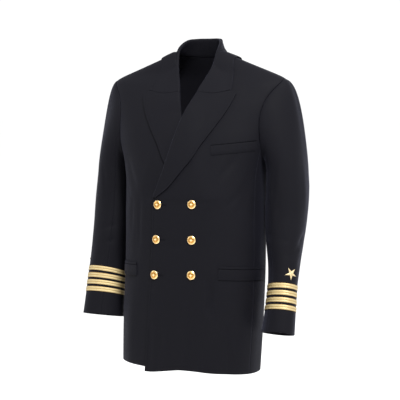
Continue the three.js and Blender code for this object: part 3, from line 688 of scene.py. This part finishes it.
edge_z = np.linspace(BREAK_Z - 14, HEM_Z + 4, 130)
edge_x = front_edge.x(edge_z) + SEWN_IN
edge_at = hang(np.stack([edge_x, front_y(edge_x, edge_z), edge_z], -1), 1)
edge_at, edge_out = on_cloth(edge_at, 1, 0)
front_edge_sewing = sewn_line("front_edge_sewing", sway(edge_at), edge_out)

# Side bodies
# A narrow panel under each arm joins the forepart to the back. It is sewn with pressed-open
# seams, and its top is the bottom of the armhole.


def side_row(t):
    near = np.array([0, 0.5, 1.2, 2.2, 3.6])
    middle = np.linspace(SIDE_FROM + 6, SIDE_TO - 6, 20)
    angles = np.concatenate([SIDE_FROM + near, middle, SIDE_TO - near[::-1]])
    top = armhole(angles)
    start = armhole(SIDE_FROM)[1]
    end = armhole(SIDE_TO)[1]
    z = mix(HEM_Z, top[:, 2] - 0.2, t)
    part = (top[:, 1] - start) / (end - start)
    y = mix(side_seams.front(z) - 0.06, side_seams.back(z) + 0.06, part)
    return np.stack([side_x(y, z), y, z], -1)


SIDE_ROWS = [side_row(t) for t in np.linspace(0, 1, 90)]
for word, long, area in (("left", 0.56, 0.0525), ("right", 0.547, 0.0512)):
    side_body = body_panel("side_body_" + word, SIDE_ROWS, 0, word == "right")
    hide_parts("side_" + word)

# Backs
# Two panels sewn down the middle of the back, shaped over the shoulder blades, with the
# shoulder seams at their tops and no vent.
BACK_NECK_Z = -8


def back_row(z, kind, degrees):
    end = outer_end(z, kind, degrees, side_seams.back)
    headings = along_row(math.pi, end, z, edge_places(-0.12, -0.06, 46))
    middle = mix(TIP_Z, BACK_NECK_Z, 1 - z / TIP_Z) if z > TIP_Z else z
    part = np.linspace(0, 1, len(headings))
    return on_form(headings, mix(middle, z, ease(0, 1, part)))


BACK_ROWS = [back_row(*row) for row in panel_rows(SIDE_TO)]
for word, area in (("left", 0.152), ("right", 0.151)):
    back_panel = body_panel("back_panel_" + word, BACK_ROWS, 0, word == "right")
    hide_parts("back_" + word)

# Lapels
# The facing of each forepart turns over at the roll line and lies on the chest, soft at the
# roll and pressed flat at its peaked point, with its top sewn to the collar at the gorge.
LAPEL_LOW_Z = -352
NOTCH = 0.82
TAIL = 3
GORGE_END_X = 110
GORGE_END_Z = -92.5
GORGE_DIP = 5
PEAK_X = 126.5
PEAK_Z = -98.5
PULL = 5


def fold_radius(side, z):
    if side > 0:
        return float(mix(1.7, 3, ease(-330, -180, z)))
    return float(mix(1.7, 3, ease(-150, -115, z)))


def gorge(s):
    start = float(roll_line.fold(GORGE_Z)) + fold_radius(1, GORGE_Z) + 1
    dip = GORGE_DIP * np.sin(math.pi * s) ** 1.5
    return mix(start, GORGE_END_X, s), mix(GORGE_Z - 1, GORGE_END_Z, s) - dip


def lapel_top(s):
    x, z = gorge(np.clip(s / NOTCH, 0, 1))
    t = np.clip((s - NOTCH) / (1 - NOTCH), 0, 1)
    peak_x = mix(GORGE_END_X, PEAK_X, t)
    peak_z = mix(GORGE_END_Z, PEAK_Z, t)
    return np.where(s <= NOTCH, x, peak_x), np.where(s <= NOTCH, z, peak_z)


def lapel_point(s, t):
    z = mix(LAPEL_LOW_Z, GORGE_Z, t)
    edge_z = mix(LAPEL_LOW_Z, PEAK_Z, t)
    start = float(roll_line.fold(z)) + fold_radius(1, z) + 1
    edge = max(start + 2.5, float(roll_line.edge(edge_z)))
    top = lapel_top(s)
    first = float(roll_line.fold(GORGE_Z)) + fold_radius(1, GORGE_Z) + 1
    w = t ** 3
    x = mix(start, edge, s) + (top[0] - mix(first, PEAK_X, s)) * w
    return x, mix(z, edge_z, s) + (top[1] - mix(GORGE_Z, PEAK_Z, s)) * w


def turned_section(side, start, end, radius):
    at, direction = on_cloth(start, side, 0)
    along = end - start
    along = unit(along - direction * (along @ direction))
    spots = [at + along * TAIL - direction]
    for degrees in np.linspace(-90, -270, 9):
        a = math.radians(degrees)
        spots.append(at + along * radius * math.cos(a)
                     + direction * (radius - 1 + radius * math.sin(a)))
    return spots


def lapel_row(side, t):
    lower = 1 if t == 1 else 0

    def place(s):
        s = np.asarray(s, float)
        wide, z = lapel_point(s, t)
        z = z - lower
        pull = PULL * s * ease(0.2, 0.6, t) * (1 - ease(0.7, 1, t) * 0.6)
        x = wide if side > 0 else wide - pull
        return np.stack(np.broadcast_arrays(side * x, front_y(x, z), z), -1)

    start = place(0.0)
    radius = fold_radius(side, start[2])
    section = turned_section(side, start, place(1.0), radius)
    s = np.concatenate([np.linspace(0, 1, 30)[1:-1], [0.985, 1]])
    height = mix(2 * radius - 1, CLOTH, ease(0, 1, s)) + 1.1 * ease(0.8, 1, s)
    flat, _ = on_cloth(place(s), side, height)
    return np.concatenate([np.array(section), flat])


for side, word in ((1, "left"), (-1, "right")):
    rows = np.array([lapel_row(side, t) for t in np.linspace(0, 1, 90)])
    lapel = cut_cloth("turned_lapel_" + word, sway(rows), np.array([0, -1, 0.2]), CLOTH,
                      centred=True)
    put_on(lapel, barathea)
    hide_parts("lapel_" + word)
    sewing = edge_sewing("lapel_edge_sewing_" + word, rows[8:88])

# Collar
# A stand rises from the neck seam, folds over, and falls as a leaf on the shoulders. Its ends
# are sewn along the gorge to the lapels, and they stop short of the points to leave the notch.
COLLAR_ROLL = 3
LEAF_CLEAR = (2.6, 1.4)
collar_fold = columns("x y z", [
    [0, 0, 74, 38],
    [0.17, 30, 67, 37.5],
    [0.33, 47, 43, 33],
    [0.5, 54.5, 11, 13],
    [0.62, 52.5, -2, -6],
    [0.74, 47.5, -13, -30],
    [0.86, 37, -32, -60],
    [1, 21, -60, -97],
])
collar_edge = columns("x y z", [
    [0, 0, 93.6, -24],
    [0.17, 44, 89.2, -26],
    [0.33, 83, 62, -31],
    [0.5, 97, 12, -18],
    [0.62, 100, -6, -26],
    [0.74, 104, -18, -48],
    [0.86, 107.5, -32, -70],
    [1, 110, -49, -92.5],
])


def away_from_form(p):
    return level(p[0], p[1], p[2]) / np.linalg.norm(slope_at(p))


def collar_section(q, start):
    heading = math.pi * (1 - q)
    if q < 0.5:
        seam = on_form(heading, mix(BACK_NECK_Z, 0, ease(0, 0.5, q)))
    else:
        z = GORGE_Z * ((q - 0.5) * 2) ** 1.25
        seam = np.array([neck_seam.x(z), front_y(neck_seam.x(z), z), z])
    w = float(ease(0.5, 1, q))
    direction = unit(slope_at(seam))
    last_bulge = unit(start[5] - (start[1] + start[9]) / 2)
    last_over = unit(start[9] - start[1])
    out = np.array([1.0, 0, 0])
    if q < 0.5:
        out = np.array([math.sin(heading), -math.cos(heading), 0])
    bulge = unit(mix(np.array([0, 0, 1.0]), last_bulge, w))
    over = mix(out, last_over, w)
    over = unit(over - bulge * (over @ bulge))
    fold = np.array([collar_fold.x(q), collar_fold.y(q), collar_fold.z(q)])
    fold = mix(fold, start[5] + np.array([0, 0, 0.4]), float(ease(0.9, 1, q)))
    centre = fold - bulge * COLLAR_ROLL
    turn = [centre + bulge * COLLAR_ROLL * math.cos(a) + over * COLLAR_ROLL * math.sin(a)
            for a in np.radians(np.linspace(-90, 90, 9))]
    foot = seam - direction
    rise = turn[0] - foot
    foot = foot + rise * min(0.5, 0.7 / np.linalg.norm(rise))
    if q > 0.86:
        foot = mix(foot, start[0] + np.array([0, 0, 0.4]), float(ease(0.86, 1, q)))
    section = [mix(foot, turn[0], t) for t in (0, 0.18, 0.36, 0.54, 0.72, 0.88)] + turn
    edge = np.array([collar_edge.x(q), collar_edge.y(q), collar_edge.z(q)])
    span = np.linalg.norm(turn[-1] - edge)
    control = turn[-1] + unit(mix(-bulge, over, 0.14)) * span * 0.4
    for s in np.concatenate([np.linspace(0, 1, 20)[1:-1], [0.98, 1]]):
        p = turn[-1] * (1 - s) ** 2 + control * 2 * s * (1 - s) + edge * s * s
        gx, gz = gorge(s)
        height = mix(2 * COLLAR_ROLL - 1, CLOTH, ease(0, 1, s * NOTCH))
        flat, _ = on_cloth(np.array([gx, front_y(gx, gz), gz]), 1, height)
        p = mix(p, flat, float(ease(0.72, 1, q)))
        for _ in range(4):
            low = float(ease(5, -4, p[2]))
            stand = float(overlap(1, p[0], p[2]))
            lack = mix(*LEAF_CLEAR, s) + stand - away_from_form(p)
            if low > 0 and lack > 0:
                p = p + unit(slope_at(p)) * lack * low
        section.append(p)
    return np.array(section)


corner = lapel_row(1, 1)
leaf = np.array([collar_section(q, corner) for q in np.linspace(0, 1, 64)])
leaf = np.concatenate([(leaf * np.array([-1, 1, 1]))[::-1][:-1], leaf])
turned_collar = cut_cloth("turned_collar", sway(leaf), np.array([0, 0, 1]), CLOTH, centred=True)
put_on(turned_collar, barathea)
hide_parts("collar")
collar_sewing = edge_sewing("collar_edge_sewing", leaf[2:-2])

# Sleeves
# Each is cut in a top and an under part, bent at the elbow, and set into the armhole with a
# little fullness at the cap. The seams run down the forearm and the hindarm.
SLEEVES = {
    "left": columns("x y long short turn", [
        [-679, 239.3, -58.7, 53.5, 38.5, -52],
        [-645, 240, -49.5, 51, 37, -54],
        [-580, 239, -30, 50, 35, -58],
        [-520, 237, -12, 53, 39, -66],
        [-460, 234, 2, 57, 46, -78],
        [-400, 233, 14, 62, 50, -88],
        [-350, 234, 20, 68, 50, -90],
        [-290, 233, 22, 72, 47, -90],
    ]),
    "right": columns("x y long short turn", [
        [-664, 242, -53, 52, 40, -32],
        [-642, 242, -48, 51, 39, -34],
        [-580, 242, -30, 51, 40, -42],
        [-520, 240, -11, 54, 44, -52],
        [-460, 238.5, 3, 57, 49, -72],
        [-400, 237, 15, 61, 52, -86],
        [-350, 236, 22, 66, 50, -90],
        [-290, 232.5, 24, 70, 47, -90],
    ]),
}
CUFF_Z = {"left": -679, "right": -664}
CAP_Z = -290
ARM_ROUND = 2.15
FOREARM_SEAM = 110
HINDARM_SEAM = 290


def tube_points(table, z, a):
    centre = np.array([table.x(z), table.y(z), z])
    down = unit(np.array([table.x(z - 2), table.y(z - 2), z - 2]) - centre)
    first = np.array([1.0, 0, 0])
    first = unit(first - down * (first @ down))
    second = np.cross(first, down)
    apart = -a - math.radians(float(table.turn(z)))
    across = np.abs(np.cos(apart) / table.long(z)) ** ARM_ROUND
    deep = np.abs(np.sin(apart) / table.short(z)) ** ARM_ROUND
    r = (across + deep) ** (-1 / ARM_ROUND)
    return centre + first * (r * np.cos(a))[:, None] - second * (r * np.sin(a))[:, None]


def cap_points(table, side, u, a):
    top = np.maximum(0, np.cos(a))
    start = armhole(np.degrees(a))
    start[:, 0] += 0.3 + side * torso.shift(start[:, 2])
    start[:, 2] -= 0.4 * top
    end = tube_points(table, CAP_Z, a)
    later = unit(tube_points(table, CAP_Z - 4, a) - end)
    span = np.linalg.norm(start - end, axis=-1)
    fall = -0.1 * top - 0.35 * (1 - top)
    leave = unit(np.stack([np.ones_like(a), -0.35 * np.sin(a), fall], -1))
    pull = (mix(0.55, 0.42 if side > 0 else 0.3, top) * span)[:, None]
    reach = (mix(0.7, 1.15, top) * span)[:, None]
    return (
        start * (2 * u ** 3 - 3 * u ** 2 + 1) + leave * (u ** 3 - 2 * u ** 2 + u) * pull
        + end * (3 * u ** 2 - 2 * u ** 3) + later * (u ** 3 - u ** 2) * reach
    )


def sleeve_rings(word, angles):
    table = SLEEVES[word]
    a = np.radians(angles)
    side = 1 if word == "left" else -1
    rings = [cap_points(table, side, u, a) for u in np.linspace(0, 1, 40)[:-1]]
    rings += [tube_points(table, z, a) for z in np.linspace(CAP_Z, CUFF_Z[word], 84)]
    rings = np.array(rings)
    if word == "right":
        rings = rings * np.array([-1, 1, 1])
    around = np.roll(rings, -1, 1) - np.roll(rings, 1, 1)
    normal = unit(np.cross(around, np.gradient(rings, axis=0)))
    middle = rings.mean(axis=1, keepdims=True)
    if np.sum(normal * (rings - middle)) < 0:
        normal = -normal
    lift = crease_height(rings) * ease(0.1, 0.35, np.linspace(0, 3, len(rings)))[:, None]
    return rings + normal * lift[..., None], normal


for word in ("left", "right"):
    for part, start, end in (
        ("top", HINDARM_SEAM, FOREARM_SEAM), ("under", FOREARM_SEAM, HINDARM_SEAM),
    ):
        span = (end - start) % 360
        near = np.array([-0.05, 1, 2, 3.4, 5])
        steps = np.concatenate([near, np.linspace(8, span - 8, 58), span - near[::-1]])
        angles = (start + steps) % 360
        everything = np.concatenate([angles, (start + np.linspace(span + 4, 356, 30)) % 360])
        order = np.argsort(everything)
        rings, normal = sleeve_rings(word, everything[order])
        back = np.empty(len(order), int)
        back[order] = np.arange(len(order))
        picked = back[:len(angles)]
        dip = seam_dip(len(angles), 0.35, 0.35)[None, :, None]
        points = rings[:, picked] + normal[:, picked] * dip
        piece = cut_cloth("set_sleeve_%s_%s" % (word, part), points, normal[:, picked], CLOTH)
        put_on(piece, barathea)
        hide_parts("sleeve_%s_%s" % (word, part))

# Cuff stripes
# Four bands of flat gold braid go round each cuff. They are woven with a rib along each side
# and a channel down the middle, and sewn flat to the sleeve.
STRIPE_WIDTH = 11.6
STRIPE_SPACE = 5.6
STRIPE_FROM_CUFF = 54
STRIPE_PART = np.array([
    0, 0.03, 0.09, 0.18, 0.28, 0.38, 0.44, 0.48, 0.52, 0.56, 0.62, 0.72, 0.82, 0.91, 0.97, 1,
])
RING_STEP = 4

# Painted shade and highlight: the braid's gold is dark at the low edges and in the middle channel,
# and light on the raised rib tops.
SHADED_SELVEDGE = (0.15, 0.085, 0.022)
SHADED_RIB_SIDE = (0.42, 0.305, 0.13)
HIGHLIT_RIB_TOP = (0.51, 0.42, 0.235)
SHADED_GROOVE_WALL = (0.39, 0.285, 0.12)
SHADED_GROOVE = (0.23, 0.15, 0.045)
braid, shader = new_look("gold_braid", {"Metallic": 0.55, "Roughness": 0.46})
place = add_cloth_map(braid)
slant = add_node(braid, "ShaderNodeMapping", {"Rotation": (0, 0, math.radians(20))})
apart = add_node(braid, "ShaderNodeSeparateXYZ")
across = add_node(braid, "ShaderNodeMath", {1: 1 / (STRIPE_WIDTH * MM)})
across.operation = "MULTIPLY"
# Colour across the band's width: painted shade in the low parts of the braid and a painted
# highlight on its raised ribs.
rib_shading = add_ramp(braid, [
    (0.0, SHADED_SELVEDGE), (0.07, SHADED_RIB_SIDE), (0.26, HIGHLIT_RIB_TOP), (0.42, SHADED_GROOVE_WALL), (0.5, SHADED_GROOVE),
    (0.58, SHADED_GROOVE_WALL), (0.74, HIGHLIT_RIB_TOP), (0.93, SHADED_RIB_SIDE), (1.0, SHADED_SELVEDGE),
])
thread = add_node(braid, "ShaderNodeTexWave", {"Scale": 330, "Distortion": 0.6})
tone = add_mix(braid, {"Factor": 0.28}, "MULTIPLY")
raised = add_node(braid, "ShaderNodeBump", {"Strength": 0.45, "Distance": 0.0002})
wire(
    braid,
    (place, "UV", apart, "Vector"),
    (apart, "Y", across, 0),
    (across, "Value", rib_shading, "Fac"),
    (place, "UV", slant, "Vector"),
    (slant, "Vector", thread, "Vector"),
    (rib_shading, "Color", tone, "A"),
    (thread, "Color", tone, "B"),
    (tone, "Result", shader, "Base Color"),
    (thread, "Fac", raised, "Height"),
    (raised, "Normal", shader, "Normal"),
)


def up_the_sleeve(rings, normal, lengths):
    gap = np.linalg.norm(rings[:-1] - rings[1:], axis=-1).mean(axis=1)[::-1]
    run = np.concatenate([[0], np.cumsum(gap)])
    rows = []
    facing = []
    for want in lengths:
        k = int(np.searchsorted(run, want)) - 1
        t = (want - run[k]) / (run[k + 1] - run[k])
        a = len(rings) - 1 - k
        rows.append(mix(rings[a], rings[a - 1], t))
        facing.append(unit(mix(normal[a], normal[a - 1], t)))
    return np.array(rows), np.array(facing)


def closed(grid):
    return np.concatenate([grid, grid[:, :1]], 1)


sewn_on_arm = {"left": [], "right": []}
whole_arms = {}
for word in ("left", "right"):
    rings, normal = sleeve_rings(word, np.arange(0, 360, RING_STEP))
    whole_arms[word] = rings, normal
    for k in range(4):
        start = STRIPE_FROM_CUFF + k * (STRIPE_WIDTH + STRIPE_SPACE)
        rib = 0.16 + 0.84 * np.abs(np.sin(2 * math.pi * STRIPE_PART)) ** 0.7
        points, facing = up_the_sleeve(rings, normal, start + STRIPE_PART * STRIPE_WIDTH)
        points = points + facing * (0.75 + 0.65 * rib)[:, None, None]
        band = cut_cloth("cuff_braid_%s_%d" % (word, k + 1), closed(points), closed(facing),
                         wall=0.7, soft=0.00015, ring=True)
        put_on(band, braid)
        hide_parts("stripe_%s_%d" % (word, k + 1))
        sewn_on_arm[word].append(band)

# Cuff stars
# A five-pointed star is embroidered in gold thread above the stripes, one ray down. Its rays
# have a raised middle line, and its thread lies across them.
STAR_RADIUS = 16
STAR_HEADING = {"left": 50, "right": 16}
STAR_FROM_STRIPE = 8
RAY_DEGREES = 36
INNER_RAY = 0.34
BESIDE = 22

gold_thread = thread_look(
    "gold_thread", {"Metallic": 0.5, "Roughness": 0.5},
    "X", {"Scale": 380, "Distortion": 2},
    (0.24, 0.17, 0.07), (0.56, 0.47, 0.28),
    {"Strength": 0.5, "Distance": 0.0002},
)

for word in ("left", "right"):
    rings, normal = whole_arms[word]
    centre = STRIPE_FROM_CUFF + 4 * STRIPE_WIDTH + 3 * STRIPE_SPACE + STAR_FROM_STRIPE + STAR_RADIUS
    ring, facing = up_the_sleeve(rings, normal, [centre, centre + 4])
    above = unit((ring[1] - ring[0]).mean(axis=0))
    turned = BESIDE - int(round(STAR_HEADING[word] / RING_STEP))
    ring = np.roll(ring[0], turned, 0)[:2 * BESIDE + 2]
    facing = np.roll(facing[0], turned, 0)[:2 * BESIDE + 2]
    run = run_of(ring)
    run -= run[BESIDE]
    bpy.ops.mesh.primitive_circle_add(vertices=10, radius=STAR_RADIUS, fill_type="TRIFAN")
    star = named("cuff_star_" + word)
    for corner in star.data.vertices:
        radius = math.hypot(corner.co.x, corner.co.y)
        if radius < 1:
            corner.co.z = 1.5
            continue
        heading = math.degrees(math.atan2(corner.co.x, corner.co.y))
        step = int(round(heading / RAY_DEGREES))
        sharp = step % 2 == 0
        a = math.radians(RAY_DEGREES * step - 90)
        radius = STAR_RADIUS * (1 if sharp else INNER_RAY)
        corner.co = (radius * math.cos(a), radius * math.sin(a), 0.9 if sharp else 0.2)
    bpy.ops.object.mode_set(mode="EDIT")
    bpy.ops.mesh.select_all(action="SELECT")
    bpy.ops.mesh.subdivide(number_cuts=7)
    bpy.ops.object.mode_set(mode="OBJECT")
    flat = np.array([list(v.co) for v in star.data.vertices])
    at = read_at(flat[:, 0], run, ring)
    out = unit(read_at(flat[:, 0], run, facing))
    at = at + above * flat[:, 1:2] + out * (flat[:, 2:3] + 0.7)
    star.data.vertices.foreach_set("co", (at * MM).ravel())
    star.data.update()
    if np.array(star.data.polygons[0].normal) @ out[0] < 0:
        star.data.flip_normals()
    pad = star.modifiers.new("pad", "SOLIDIFY")
    pad.thickness = 0.0004
    bpy.ops.object.modifier_apply(modifier="pad")
    put_on(star, gold_thread)
    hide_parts("star_" + word)
    sewn_on_arm[word].append(star)

# Breast pocket
# A slanted welt is sewn on the left chest along its lower edge and both ends, with the
# pocket's mouth behind its upper edge.


def laid_on(start, length, low, high, slope, side, out, rows=9, sunk=0.0):
    x0, z0 = start
    begin = float(heading_of(x0, front_y(x0, z0), z0))
    fine = np.linspace(begin, math.pi * 0.62, 900)
    run = run_of(on_form(fine, z0))
    near = np.array([0, 0.6, 1.4, 2.6])
    places = np.concatenate([near, np.linspace(4.5, length - 4.5, 54), length - near[::-1]])
    heading = np.interp(places, run, fine)
    part = np.concatenate([[0, 0.03, 0.08], np.linspace(0.16, 0.84, rows), [0.92, 0.97, 1]])
    z = z0 + mix(low, high, part)[:, None] + (places / length * slope)[None, :]
    p = on_form(np.broadcast_to(heading, z.shape), z)
    p[..., 0] *= side
    crown = np.minimum(1, np.minimum(part, 1 - part) / 0.14)[:, None] ** 0.5
    lower = sunk * (1 - ease(0, 0.35, part))[:, None]
    at, direction = on_cloth(p, side, np.broadcast_to(out - 0.5 + 0.5 * crown - lower, z.shape))
    return sway(at), direction


# Painted shade: a near-black cloth for the thin strips that stand for the dark gap in each pocket's
# mouth.
mouth_shade_cloth, shader = new_look("painted_mouth_shade", {"Roughness": 0.9, "Specular IOR Level": 0.02})
place = add_cloth_map(mouth_shade_cloth)
weave = add_node(mouth_shade_cloth, "ShaderNodeTexChecker", {
    "Scale": 2500, "Color1": (0.0010, 0.0010, 0.0014, 1), "Color2": (0.0003, 0.0003, 0.0005, 1),
})
wire(mouth_shade_cloth, (place, "UV", weave, "Vector"), (weave, "Color", shader, "Base Color"))


# Lays one such near-black strip, painted shade where a pocket opens.
def pocket_mouth(name, points, facing):
    mouth = cut_cloth(name, points, facing, wall=0.3, soft=0.00005)
    put_on(mouth, mouth_shade_cloth)
    return mouth


# The strip behind the welt's top edge is painted shade for the gap of the breast pocket's mouth.
points, facing = laid_on((84.5, -225), length=112, low=-0.6, high=1.5, slope=11, side=1,
                         out=0.9, rows=3)
breast_mouth = pocket_mouth("breast_pocket_shade_strip", points, facing)
points, facing = laid_on((84, -225), length=113, low=-24, high=0, slope=11, side=1,
                         out=2.2, sunk=1.0)
welt_sewing = sewn_line("breast_pocket_sewing", points[2, 2:-2], facing[2, 2:-2])
welt = cut_cloth("breast_pocket_welt", points, facing, wall=1.5)
put_on(welt, barathea)
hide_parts("breast_welt")

# Hip pockets
# Each has a narrow jet sewn along its mouth, and a flap of the same cloth below it that
# hangs from the seam.
for side, word in ((1, "left"), (-1, "right")):
    # The strip between the jet and the flap is painted shade for the gap of the hip pocket's mouth.
    points, facing = laid_on((111, -514), length=146, low=-7.6, high=-5.6, slope=-9,
                             side=side, out=0.9, rows=3)
    mouth = pocket_mouth("hip_pocket_shade_strip_" + word, points, facing)
    points, facing = laid_on((111, -514), length=146, low=-6.0, high=0, slope=-9,
                             side=side, out=1.9, rows=5)
    jet = cut_cloth("hip_pocket_jet_" + word, points, facing, wall=1.2)
    put_on(jet, barathea)
    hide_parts("hip_jet_" + word)
    points, facing = laid_on((110, -514), length=149, low=-33, high=-7, slope=-9,
                             side=side, out=2.2)
    sewing = sewn_line("hip_pocket_sewing_" + word, points[4, 3:-3], facing[4, 3:-3])
    flap = cut_cloth("hip_pocket_flap_" + word, points, facing, wall=1.5)
    put_on(flap, barathea)
    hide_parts("hip_flap_" + word)

# Buttons
# Six gilt dome buttons, stamped from brass with a rope border and an eight-point rose in low
# relief, are sewn on by their shanks. The outer three come through buttonholes in the left
# forepart, worked round with silk and wider at the end nearest the edge.
ROPE_AT = 9.2
ROPE_STRANDS = 30
RIM_AT = 7.6
LONG_RAY = 6.9
SHORT_RAY = 4.9
ROSE_HEART = 1.9
RELIEF = 0.42
BUTTON_STAND = 0.75
HOLE_RING = 10
HOLE_HALF = 12.4
HOLE_SET = 12
HOLE_STITCHES = 50
BUTTON_INNER_X = 46
BUTTON_OUTER_X = [-45, -48.5, -53]
BUTTON_OUTER_Z = [-369, -454, -541]
BUTTON_INNER_Z = [-366, -452, -537]
profile = columns("r h", [
    [0, 0, 4.5],
    [0.2, 4.6, 4.0],
    [0.38, 7.9, 2.9],
    [0.5, 9.7, 2.2],
    [0.6, 10.6, 1.4],
    [0.7, 10, 0.5],
    [0.8, 8.4, 0.1],
    [1, 0, 0],
])

gilt, shader = new_look("gilt_brass", {"Metallic": 1})
rubbed = add_node(gilt, "ShaderNodeAttribute")
rubbed.attribute_name = "relief"
shades = add_ramp(gilt, [
    (0, (0.34, 0.16, 0.03)), (0.35, (0.66, 0.40, 0.12)), (1, (0.96, 0.86, 0.60)),
])
spot = add_node(gilt, "ShaderNodeTexCoord")
mottle = add_node(gilt, "ShaderNodeTexNoise", {"Scale": 900})
dull = add_node(gilt, "ShaderNodeMapRange", {"To Min": 0.2, "To Max": 0.42})
grain = add_node(gilt, "ShaderNodeBump", {"Strength": 0.2, "Distance": 0.0001})
wire(
    gilt,
    (rubbed, "Fac", shades, "Fac"),
    (shades, "Color", shader, "Base Color"),
    (spot, "Object", mottle, "Vector"),
    (mottle, "Fac", dull, "Value"),
    (dull, "Result", shader, "Roughness"),
    (mottle, "Fac", grain, "Height"),
    (grain, "Normal", shader, "Normal"),
)


def stamp_button(name, x, z):
    bpy.ops.mesh.primitive_uv_sphere_add(segments=96, ring_count=72, radius=1)
    button = named(name)
    ball = np.array([list(v.co) for v in button.data.vertices])
    part = np.arccos(np.clip(ball[:, 2], -1, 1)) / math.pi
    turn = np.arctan2(ball[:, 1], ball[:, 0])
    r = np.maximum(0, profile.r(part))
    h = profile.h(part)
    front = part < 0.6
    strands = 0.62 + 0.38 * np.sin(ROPE_STRANDS * turn + 3.2 * r)
    rope = np.exp(-((r - ROPE_AT) / 0.65) ** 2) * strands
    eighth = np.abs((turn / math.radians(45) + 0.5) % 1 - 0.5) * 2
    long_ray = np.cos(4 * turn) > 0
    ray = np.where(long_ray, LONG_RAY, SHORT_RAY)
    reach = ray * (1 - eighth) ** 1.6 + ROSE_HEART * eighth
    rose = np.clip(1 - r / reach, 0, 1) ** 0.6
    rim = np.exp(-((r - RIM_AT) / 0.3) ** 2)
    relief = np.where(front, np.clip(rope + rose + 0.7 * rim, 0, 1.1), 0)
    h = h + RELIEF * relief
    made, direction = on_cloth(np.array([x, front_y(x, z), z]), 1, BUTTON_STAND)
    up = unit(np.array([0, 0, 1.0]) - direction * direction[2])
    across = np.cross(up, direction)
    at = (sway(made) + (r * np.cos(turn))[:, None] * across
          + (r * np.sin(turn))[:, None] * up + h[:, None] * direction)
    button.data.vertices.foreach_set("co", (at * MM).ravel())
    worn = button.data.attributes.new("relief", "FLOAT", "POINT")
    worn.data.foreach_set("value", np.clip(relief + np.where(r > 9.9, 0.6, 0), 0, 1))
    button.data.update()
    bpy.ops.object.shade_smooth()
    put_on(button, gilt)
    return button


def worked_hole(name, x, z):
    bpy.ops.mesh.primitive_torus_add(major_segments=150, minor_segments=8,
                                     major_radius=HOLE_RING, minor_radius=1)
    hole = named(name)
    ring = np.array([list(v.co) for v in hole.data.vertices])
    turn = np.arctan2(ring[:, 1], ring[:, 0])
    thread = np.hypot(ring[:, 0], ring[:, 1]) - HOLE_RING
    worked = 0.62 + 0.12 * np.cos(HOLE_STITCHES * turn)
    half_width = mix(1.15, 1.9, ease(-0.75, -1, np.cos(turn)))
    flat_x = x + HOLE_SET + (HOLE_HALF + thread * worked) * np.cos(turn)
    flat_z = z + (half_width + thread * worked) * np.sin(turn)
    start = np.stack([flat_x, front_y(flat_x, flat_z), flat_z], -1)
    at, _ = on_cloth(start, 1, ring[:, 2] * worked * 0.8 + 0.05)
    hole.data.vertices.foreach_set("co", (sway(at) * MM).ravel())
    hole.data.update()
    bpy.ops.object.shade_smooth()
    put_on(hole, navy_silk)
    return hole


fastened = []
for k in range(3):
    outer = stamp_button("gilt_button_%d_outer" % (k + 1), BUTTON_OUTER_X[k], BUTTON_OUTER_Z[k])
    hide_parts("button_%d_outer" % (k + 1))
    inner = stamp_button("gilt_button_%d_inner" % (k + 1), BUTTON_INNER_X, BUTTON_INNER_Z[k])
    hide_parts("button_%d_inner" % (k + 1))
    hole = worked_hole("worked_buttonhole_%d" % (k + 1), BUTTON_OUTER_X[k], BUTTON_OUTER_Z[k])
    fastened += [outer, inner, hole]

# Floor and light
# A pale matt floor lies well below the hem. The key light is above and in front, to the
# wearer's left, with a weak fill and a weak rim light and a white surround.
FLOOR_Z = -1.35
bpy.ops.mesh.primitive_circle_add(vertices=96, radius=60, fill_type="NGON",
                                  location=(0, 0, FLOOR_Z))
floor = named("studio_floor")
bpy.ops.object.transform_apply(location=True, rotation=True, scale=True)
pale, shader = new_look("pale_floor", {"Base Color": (0.95, 0.95, 0.95, 1), "Roughness": 0.9})
floor.data.materials.append(pale)
floor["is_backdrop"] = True

for name, place, turn, size, power in (
    ("key", (1.45, -1.8, 2.6), (38.5, 0, 39), 0.7, 310),
    ("fill", (-2.5, -1.1, 0.9), (66, 0, -67), 1.2, 20),
    ("rim", (2.2, 0.9, 0.9), (66, 0, 112), 1.0, 20),
):
    bpy.ops.object.light_add(type="AREA", location=place)
    lamp = bpy.context.object
    lamp.name = name
    lamp.rotation_euler = [math.radians(v) for v in turn]
    lamp.data.shape = "DISK"
    lamp.data.size = size
    lamp.data.energy = power

world = bpy.data.worlds.new("studio")
bpy.context.scene.world = world
world.use_nodes = True
sky = world.node_tree.nodes["Background"]
sky.inputs["Color"].default_value = (1, 1, 1, 1)
sky.inputs["Strength"].default_value = 1.06
bpy.context.scene.view_settings.view_transform = "Standard"

rows = [[list(map(float, corner)) for corner in box] for box in (cad_box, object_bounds())]
